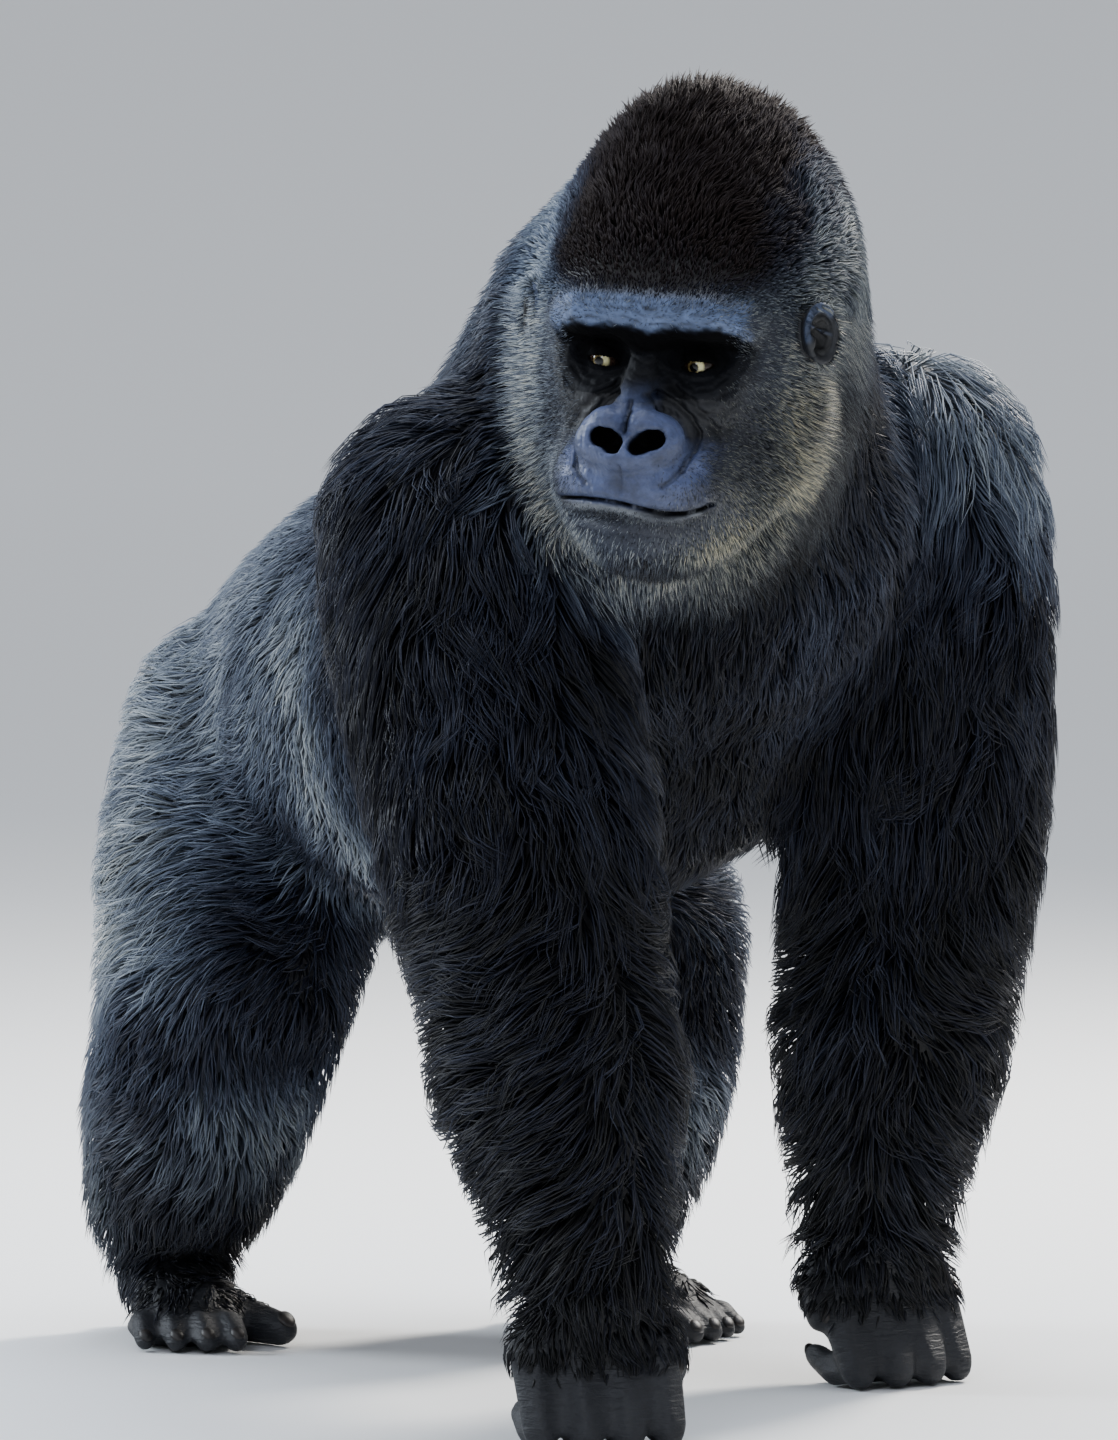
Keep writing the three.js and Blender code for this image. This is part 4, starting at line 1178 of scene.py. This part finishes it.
def gather(path, root, strength, lock):
    # tufts lean towards the nearest guide, one from each cell, so that the coat breaks into pointed locks
    keys = np.floor((root + 3 * mm * ripple(root, 0.03, 31)[:, None]) / (lock * mm)).astype(np.int64)
    hashed = (keys[:, 0] * 73856093) ^ (keys[:, 1] * 19349663) ^ (keys[:, 2] * 83492791)
    _, guides = np.unique(hashed, return_index=True)
    tree = KDTree(len(guides))
    for k, place in enumerate(root[guides].tolist()):
        tree.insert(place, k)
    tree.balance()
    nearest = np.array([guides[tree.find(place)[1]] for place in root.tolist()])
    steps = path.shape[1] - 1
    pull = np.array([strength * (k / steps) ** 1.3 for k in range(steps + 1)])
    reach = np.linalg.norm(path[nearest, -1] - path[nearest, 0], axis=1)
    far = np.linalg.norm(root[nearest] - root, axis=1)
    share = smoothStep(0.9, 0.4, far / np.maximum(reach, 1e-4))
    return path + (path[nearest] - path) * (pull[None, :] * share[:, None])[..., None]


def tuftFaces(rings):  # a closed tube: its base, the rings of three points each, and the tip
    faces = [(0, 2, 1)]
    for k in range(rings - 1):
        for s in range(3):
            a, b = 3 * k + s, 3 * k + (s + 1) % 3
            faces += [(a, b, b + 3), (a, b + 3, a + 3)]
    last = 3 * (rings - 1)
    return np.array(faces + [(last + s, last + (s + 1) % 3, last + 3) for s in range(3)])


def tuftMesh(name, path, normals, width, uv, tags):
    count, rings = path.shape[0], path.shape[1] - 1
    along = np.empty_like(path)
    along[:, 1:-1] = path[:, 2:] - path[:, :-2]
    along[:, 0] = path[:, 1] - path[:, 0]
    along[:, -1] = path[:, -1] - path[:, -2]
    along = unit(along)
    side = unit(np.cross(along, normals))
    crest = np.cross(side, along)
    profile = np.array(tuftPlan["profile"][:rings])
    half = width[:, None] * 0.5 * profile[None, :]
    ring = np.empty((count, rings, 3, 3))
    for s, (out, rise) in enumerate(((-1, -0.35), (1, -0.35), (0, 0.65))):
        ring[:, :, s] = path[:, :-1] + (side[:, :-1] * out + crest[:, :-1] * rise) * half[..., None]
    points = np.concatenate([ring.reshape(count, rings * 3, 3), path[:, -1:]], axis=1)
    size = rings * 3 + 1
    corner = (tuftFaces(rings)[None] + (np.arange(count) * size)[:, None, None]).reshape(-1)
    mesh = bpy.data.meshes.new(name)
    mesh.vertices.add(count * size)
    mesh.vertices.foreach_set("co", points.astype(np.float32).reshape(-1))
    mesh.loops.add(len(corner))
    mesh.loops.foreach_set("vertex_index", corner.astype(np.int32))
    faceCount = len(corner) // 3
    mesh.polygons.add(faceCount)
    mesh.polygons.foreach_set("loop_start", np.arange(0, len(corner), 3, dtype=np.int32))
    mesh.polygons.foreach_set("loop_total", np.full(faceCount, 3, np.int32))
    mesh.update(calc_edges=True)
    mesh.shade_smooth()
    # each tuft is a small patch at its root's place, its rings across and its length up
    local = np.empty((size, 2))
    for k in range(rings):
        for s in range(3):
            local[3 * k + s] = ((s + 0.15 * k) / 3, k / rings)
    local[-1] = (0.5, 1.0)
    layer = mesh.uv_layers.new(name="OFBake")
    perVertex = uv[:, None, :] + (local[None] - 0.5) * tuftPlan["patch"]
    layer.data.foreach_set("uv", perVertex.reshape(-1, 2)[corner].astype(np.float32).reshape(-1))
    paintValues(mesh, {key: np.repeat(values, size) for key, values in tags.items()})
    up = np.append(np.repeat(np.arange(rings) / rings, 3), 1.0)
    paintValues(mesh, {"along": np.tile(up, count)})  # 0 at the root, 1 at the tip
    return putInScene(name, mesh)


def regionOf(root):
    merged = {"ear_right": "head", "ear_left": "head", "face": "head",
              "hand_right": "forearm_right", "hand_left": "forearm_left",
              "foot_right": "lower_leg_right", "foot_left": "lower_leg_left"}
    names = np.array([merged.get(name, name) for name in fleshNodes]).astype("U24")
    cell = np.round((root - owners["low"]) / owners["cell"]).astype(int)
    cell = np.clip(cell, 0, np.array(owners["values"].shape) - 1)
    found = names[owners["values"][tuple(cell.T)]]
    head = toHead(root)
    onHead = headWeight(head) > 0.5
    found[(found == "head") & ~onHead] = "neck"
    found[onHead] = "head"
    found[onHead & (head[:, 2] > 34)] = "crown"
    found[(found == "chest") & (root[:, 1] > 0.0)] = "back"
    return found


def unwrap(root, region):  # round the limb or trunk for u, along it for v; round the head for the head
    low, high = root.min(0), root.max(0)
    if region in ("head", "crown"):
        q = toHead(root) - np.array((0, 90, 20))
        u = np.arctan2(q[:, 0], -q[:, 1])
        v = np.arctan2(q[:, 2], np.hypot(q[:, 0], q[:, 1]))
    else:
        axis = 1 if region in ("chest", "back", "hips", "neck") else 2
        others = [k for k in range(3) if k != axis]
        middle = (low + high) / 2
        u = np.arctan2(root[:, others[0]] - middle[others[0]], root[:, others[1]] - middle[others[1]])
        v = root[:, axis]
    both = np.stack([u, v], 1)
    low, high = both.min(0), both.max(0)
    return 0.01 + 0.98 * (both - low) / np.maximum(high - low, 1e-6)


def furMaterial(name, roughness, ior):
    material, tree = newMaterial(name)
    marks = {key: node(tree, "ShaderNodeAttribute", {"attribute_name": key}).outputs["Fac"]
             for key in ("luck", "silver", "warm", "ochre", "along")}
    shift = node(tree, "ShaderNodeMath", {"operation": "MULTIPLY_ADD"}, {1: 0.22, 2: -0.11},
                 {0: marks["luck"]})
    total = node(tree, "ShaderNodeMath", {"operation": "ADD", "use_clamp": True}, None,
                 {0: marks["silver"], 1: shift})
    tint = node(tree, "ShaderNodeValToRGB", None, None, {"Fac": total}, hairTints)
    for key, blend in (("warm", mix), ("ochre", multiply)):
        tint = node(tree, "ShaderNodeMix", blend, {"B": colour(skinTints[key])},
                    {"A": tint, "Factor": marks[key]})
    shade = node(tree, "ShaderNodeMapRange", None, {"To Min": 0.45, "To Max": 1.08}, {"Value": marks["along"]})
    deep = node(tree, "ShaderNodeMix", multiply, {"Factor": 1.0}, {"A": tint, "B": shade})
    finish = node(tree, "ShaderNodeBsdfPrincipled", None, {"Roughness": roughness, "IOR": ior},
                  {"Base Color": deep})
    node(tree, "ShaderNodeOutputMaterial", links={"Surface": finish})
    return material


def finishSkin():
    paintSkin()
    # hide with a soft shine; a shaded copy with almost none round the eyes and in the nostrils, so that the
    # painted shade there stays dark; and a half-shaded copy as a step between the two
    for name, ior in (("leatherySkin", 1.45), ("shadedSkin", 1.12), ("dullSkin", 1.25)):
        skin.data.materials.append(skinMaterial(name, ior))
    corners = readOut(skin.data.loops, "vertex_index", 1, np.int32)
    starts = readOut(skin.data.polygons, "loop_start", 1, np.int32)
    dark = readOut(skin.data.attributes["socket"].data, "value")[corners[starts]]
    choice = np.where(dark > 0.62, 1, np.where(dark > 0.25, 2, 0))
    skin.data.polygons.foreach_set("material_index", choice.astype(np.int32))
    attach(skin, "root")
    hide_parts(*fleshNodes)


# Slot, segments along a tuft, pull towards its lock and millimetres between locks
coatStyle = {
    "crown": ("coat_grey", 2, 0.25, 7), "head": ("coat_grey", 1, 0.0, 8), "neck": ("coat_grey", 2, 0.4, 14),
    "chest": ("coat_black", 2, 0.4, 16), "back": ("coat_silver", 2, 0.4, 16),
    "hips": ("coat_silver", 2, 0.45, 18), "upper_arm": ("coat_black", 3, 0.66, 30),
    "forearm": ("coat_black", 3, 0.6, 26), "thigh": ("coat_silver", 3, 0.5, 20),
    "lower_leg": ("coat_grey", 2, 0.45, 16),
}


def addCoatPiece(name, root, tufts, region, tags, material):
    piece = tuftMesh("coat_" + name, *tufts, unwrap(root, region), tags)
    piece.data.materials.append(material)
    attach(piece, "root")
    say(piece.name, len(root), "tufts", len(piece.data.polygons), "triangles")


def buildCoat():
    rng = np.random.default_rng(tuftPlan["seed"])
    root, up = scatterRoots(rng, hairShare, coatSpacing)
    say("tufts", len(root))
    region = regionOf(root)
    coarse = furMaterial("gorillaHair", 0.52, 1.38)  # coarse dark hair with a sheen, cooler where it is silver
    downy = furMaterial("crownHair", 0.7, 1.2)  # the soft dull hair of the crown, tinged with brown
    for name in sorted(set(region)):
        k = np.nonzero(region == name)[0]
        kind = kindOf(name)
        slot, steps, pull, lock = coatStyle[kind]
        path, normals, width = growTufts(root[k], up[k], rng, steps)
        if pull:
            path = gather(path, root[k], pull, lock)
        silver, warm, ochre = markings(root[k], up[k])
        luck = rng.uniform(0, 1, len(k))
        uneven = 3.0 - 1.5 * smoothStep(0, 50, toHead(root[k])[:, 2]) if kind == "head" else 1.2
        luck = (luck - 0.5) * uneven + 0.5  # above 0.5 a tuft is paler than its place, below it darker
        addCoatPiece(name, root[k], (path, normals, width), name,
                     {"silver": silver, "luck": luck, "warm": warm, "ochre": ochre},
                     downy if kind == "crown" else coarse)
    root, up = scatterRoots(rng, stubbleShare, lambda q: tuftPlan["stubbleSpacing"])
    tufts = growTufts(root, up, rng, 1, stubble=True)
    height = toHead(root)[:, 2]
    chin = coatShades["chinStubble"] + coatShades["chinTip"] * smoothStep(-130, -160, height)
    luck = (rng.uniform(0, 1, len(root)) - 0.5) * 3.4 + 0.5
    addCoatPiece("face", root, tufts, "head",
                 {"silver": np.where(height > 0, coatShades["browStubble"], chin), "luck": luck,
                  "warm": 0 * luck, "ochre": markings(root, up)[2]}, coarse)


finishSkin()
buildCoat()


# Eyes and nails

eyePlan = {"radius": 14, "iris": 7.2, "gaze": (-0.14, -1.0, -0.06), "cornea": 0.10,
           "glowTurn": -0.25, "glowTint": "#d2cb98", "rings": 40, "sides": 64}
# Colours from the pupil out to the white
eyeTints = ((0.0, "#010101"), (0.215, "#010101"), (0.24, "#1d150b"), (0.34, "#5f5230"), (0.43, "#4f4226"),
            (0.50, "#1a0e08"), (0.54, "#0b0706"), (0.64, "#2c1f18"), (1.0, "#17100d"))


def eyeMaterial():
    material, tree = newMaterial("wetEye")  # amber iris ringed with black in a dark brown white
    marks = {key: node(tree, "ShaderNodeAttribute", {"attribute_name": key}).outputs["Fac"]
             for key in ("reach", "spin", "glow")}
    rings = node(tree, "ShaderNodeValToRGB", None, None, {"Fac": marks["reach"]}, eyeTints)
    flat = node(tree, "ShaderNodeCombineXYZ", None, None, {"X": marks["spin"], "Y": marks["reach"]})
    streaks = node(tree, "ShaderNodeTexNoise", {"noise_dimensions": "2D"}, {"Scale": 5.0, "Detail": 2.0},
                   {"Vector": flat})  # about thirty fibres round the iris, far fewer than the real ones
    vary = node(tree, "ShaderNodeMapRange", None,
                {"From Min": 0.3, "From Max": 0.7, "To Min": 0.6, "To Max": 1.35}, {"Value": streaks})
    tint = node(tree, "ShaderNodeMix", multiply, {"Factor": 1.0}, {"A": rings, "B": vary})
    lit = marks["glow"]
    for low, high in ((0.24, 0.3), (0.62, 0.5)):  # only between the pupil and the edge of the iris
        band = node(tree, "ShaderNodeMapRange", None, {"From Min": low, "From Max": high},
                    {"Value": marks["reach"]})
        lit = node(tree, "ShaderNodeMath", {"operation": "MULTIPLY"}, None, {0: lit, 1: band})
    tint = node(tree, "ShaderNodeMix", mix, {"B": colour(eyePlan["glowTint"])},
                {"A": tint, "Factor": lit})  # light gathered by the cornea
    finish = node(tree, "ShaderNodeBsdfPrincipled", None, {"Roughness": 0.07, "IOR": 1.38},
                  {"Base Color": tint})
    node(tree, "ShaderNodeOutputMaterial", links={"Surface": finish})
    return material


def buildEye(name, material):
    gaze = unit(np.array(eyePlan["gaze"]) @ headTurn)
    across = unit(np.cross(headTurn[2], gaze))
    across = across * np.sign(across @ headTurn[0])
    upward = np.cross(across, gaze)
    radius, rings, sides = eyePlan["radius"], eyePlan["rings"], eyePlan["sides"]
    limbus = math.asin(eyePlan["iris"] / radius)
    angle = (math.pi * (np.arange(rings + 1) / rings) ** 1.35)[:, None, None]
    turn = 2 * math.pi * np.arange(sides) / sides
    bulge = 1 + eyePlan["cornea"] * np.maximum(0, 1 - (angle / (limbus * 1.15)) ** 2)
    around = across * np.cos(turn)[:, None] + upward * np.sin(turn)[:, None]
    points = centre(name) + radius * mm * bulge * (gaze * np.cos(angle) + around * np.sin(angle))
    reach = np.repeat(np.sin(np.minimum(angle, math.pi / 2)).ravel(), sides)
    spin = np.tile(np.abs(np.arange(sides) / sides - 0.5) * 6, rings + 1)
    glow = np.tile(np.maximum(0, np.cos(turn - eyePlan["glowTurn"])) ** 2.5, rings + 1)
    faces = []
    for k in range(rings):
        for s in range(sides):
            a, b = k * sides + s, k * sides + (s + 1) % sides
            quad = (a, a + sides, b + sides, b)
            faces.append(quad[:3] if k == 0 else (a, a + sides, b) if k == rings - 1 else quad)
    mesh = bpy.data.meshes.new(name + "_ball")
    mesh.from_pydata(points.reshape(-1, 3).tolist(), [], faces)
    paintValues(mesh, {"reach": reach, "spin": spin, "glow": glow})
    weld(mesh, 0.02 * mm)
    mesh.shade_smooth()
    ball = putInScene(name + "_ball", mesh)
    mesh.materials.append(material)
    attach(ball, "root")
    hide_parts(name)


def weld(mesh, near):
    bm = bmesh.new()
    bm.from_mesh(mesh)
    bmesh.ops.remove_doubles(bm, verts=bm.verts, dist=near)
    bmesh.ops.recalc_face_normals(bm, faces=bm.faces)
    bm.to_mesh(mesh)
    bm.free()


nailPlan = {"swell": 1.12, "sink": 1.5, "reach": 8, "rounding": 2}  # size against the CAD nail, depth in mm


def hornMaterial():
    material, tree = newMaterial("hornNail")  # dark horn, a little glossy, clouded
    place = node(tree, "ShaderNodeNewGeometry").outputs["Position"]
    cloud = node(tree, "ShaderNodeTexNoise", None, {"Scale": 90.0, "Detail": 2.0},
                 {"Vector": place})  # clouds about 11 mm across
    tint = node(tree, "ShaderNodeValToRGB", None, None, {"Fac": cloud}, ((0.35, "#0c0b0c"), (0.7, "#2b2624")))
    finish = node(tree, "ShaderNodeBsdfPrincipled", None, {"Roughness": 0.5, "IOR": 1.45},
                  {"Base Color": tint})
    node(tree, "ShaderNodeOutputMaterial", links={"Surface": finish})
    return material


def finishEyesAndNails():
    material = eyeMaterial()
    for name in eyeNodes:
        buildEye(name, material)
    horn = hornMaterial()
    hide = BVHTree.FromObject(skin, bpy.context.evaluated_depsgraph_get())
    for name in nailNodes:
        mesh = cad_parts[name].data.copy()
        low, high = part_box(name)
        middle = (low + high) / 2
        bed, outward, *_ = hide.find_nearest(middle)
        sink = bed - outward * nailPlan["sink"] * mm - middle
        sink *= min(1, nailPlan["reach"] * mm / max(sink.length, 1e-6))
        for v in mesh.vertices:
            v.co = middle + (v.co - middle) * nailPlan["swell"] + sink
        weld(mesh, 0.05 * mm)
        rough = putInScene("roughNail", mesh)
        rough.modifiers.new("rounder", "SUBSURF").levels = nailPlan["rounding"]
        smooth = bpy.data.meshes.new_from_object(rough.evaluated_get(bpy.context.evaluated_depsgraph_get()))
        bpy.data.objects.remove(rough)
        smooth.shade_smooth()
        smooth.materials.clear()
        smooth.materials.append(horn)
        nail = putInScene(name + "_horn", smooth)
        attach(nail, "root")
        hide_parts(name)
    say("eyes and nails")


finishEyesAndNails()


# Stage: floor, lights and camera

stagePlan = {"flat": 28, "bend": 16, "slope": 40, "sides": 96, "floor": "#eceded", "sky": "#dfe6ee",
             "skyStrength": 0.26}


def buildStage():
    # a wide pale floor that curves gently up far away, so that every view has the same plain ground
    flat, bend = stagePlan["flat"], stagePlan["bend"]
    turns = np.radians(np.linspace(0, stagePlan["slope"], 12))
    profile = [(0.02, 0.0), (flat * 0.5, 0.0)]
    profile += [(flat + bend * math.sin(a), bend - bend * math.cos(a)) for a in turns]
    sides = stagePlan["sides"]
    points = [(r * math.cos(2 * math.pi * s / sides), r * math.sin(2 * math.pi * s / sides), z)
              for r, z in profile for s in range(sides)]
    faces = []
    for k in range(len(profile) - 1):
        for s in range(sides):
            a, b = k * sides + s, k * sides + (s + 1) % sides
            faces.append((a, b, b + sides, a + sides))
    faces.append(tuple(range(sides))[::-1])
    mesh = bpy.data.meshes.new("floor")
    mesh.from_pydata(points, [], faces)
    mesh.shade_smooth()
    floor = putInScene("floor", mesh)
    material, tree = newMaterial("paintedFloor")  # matt pale paint: no reflections under the animal
    finish = node(tree, "ShaderNodeBsdfPrincipled",
                  inputs={"Base Color": colour(stagePlan["floor"]), "Roughness": 0.9})
    node(tree, "ShaderNodeOutputMaterial", links={"Surface": finish})
    mesh.materials.append(material)


lights = {
    "sky": {"place": (0.3, 0.6, 8.0), "aim": (0, 0, 0), "size": 100, "power": 1.9, "tint": "#f2f6ff"},
    "overhead": {"place": (0.4, 0.3, 4.4), "aim": (0, 0, 0.7), "size": 3.0, "power": 150, "tint": "#e8f0ff"},
    "key": {"place": (-3.4, -3.4, 2.6), "aim": (0, -0.2, 0.8), "size": 2.0, "power": 70, "tint": "#eef3ff"},
    "sun": {"place": (3.3, 1.5, 3.3), "aim": (0, 0, 0.8), "size": 1.0, "power": 400, "tint": "#fbf6ee"},
    "rim": {"place": (-3.2, 3.0, 2.4), "aim": (0, 0.2, 0.7), "size": 1.6, "power": 200, "tint": "#eaf4ff"},
}


def buildLights():
    for name, plan in lights.items():
        data = bpy.data.lights.new(name, "SUN" if name == "sky" else "AREA")
        if name == "sky":
            data.angle = math.radians(plan["size"])
        else:
            data.shape = "DISK"
            data.size = plan["size"]
        data.energy = plan["power"]
        data.color = colour(plan["tint"])[:3]
        lamp = putInScene(name, data)
        lamp.location = plan["place"]
        aim = Vector(plan["aim"]) - Vector(plan["place"])
        lamp.rotation_euler = aim.to_track_quat("-Z", "Y").to_euler()
    world = bpy.data.worlds.new("softSky")
    world.use_nodes = True
    sky = world.node_tree.nodes["Background"]
    sky.inputs["Color"].default_value = colour(stagePlan["sky"])
    sky.inputs["Strength"].default_value = stagePlan["skyStrength"]
    bpy.context.scene.world = world


camera = {"azimuth": -27, "elevation": 3, "distance": 9.0, "aside": (0.147, 0.466), "height": 0.594,
          "lens": 249.75}


def buildCamera():
    a, e = math.radians(camera["azimuth"]), math.radians(camera["elevation"])
    back = Vector((math.sin(a) * math.cos(e), -math.cos(a) * math.cos(e), math.sin(e)))
    eyes = (centre("eye_left") + centre("eye_right")) / 2
    target = Vector((eyes[0] + camera["aside"][0], eyes[1] + camera["aside"][1], camera["height"]))
    data = bpy.data.cameras.new("camera")
    data.lens = camera["lens"]
    data.sensor_width = 36
    data.sensor_fit = "AUTO"
    data.clip_end = 200
    view = putInScene("camera", data)
    view.location = target + back * camera["distance"]
    view.rotation_euler = (-back).to_track_quat("-Z", "Y").to_euler()
    bpy.context.scene.camera = view


buildStage()
buildLights()
buildCamera()
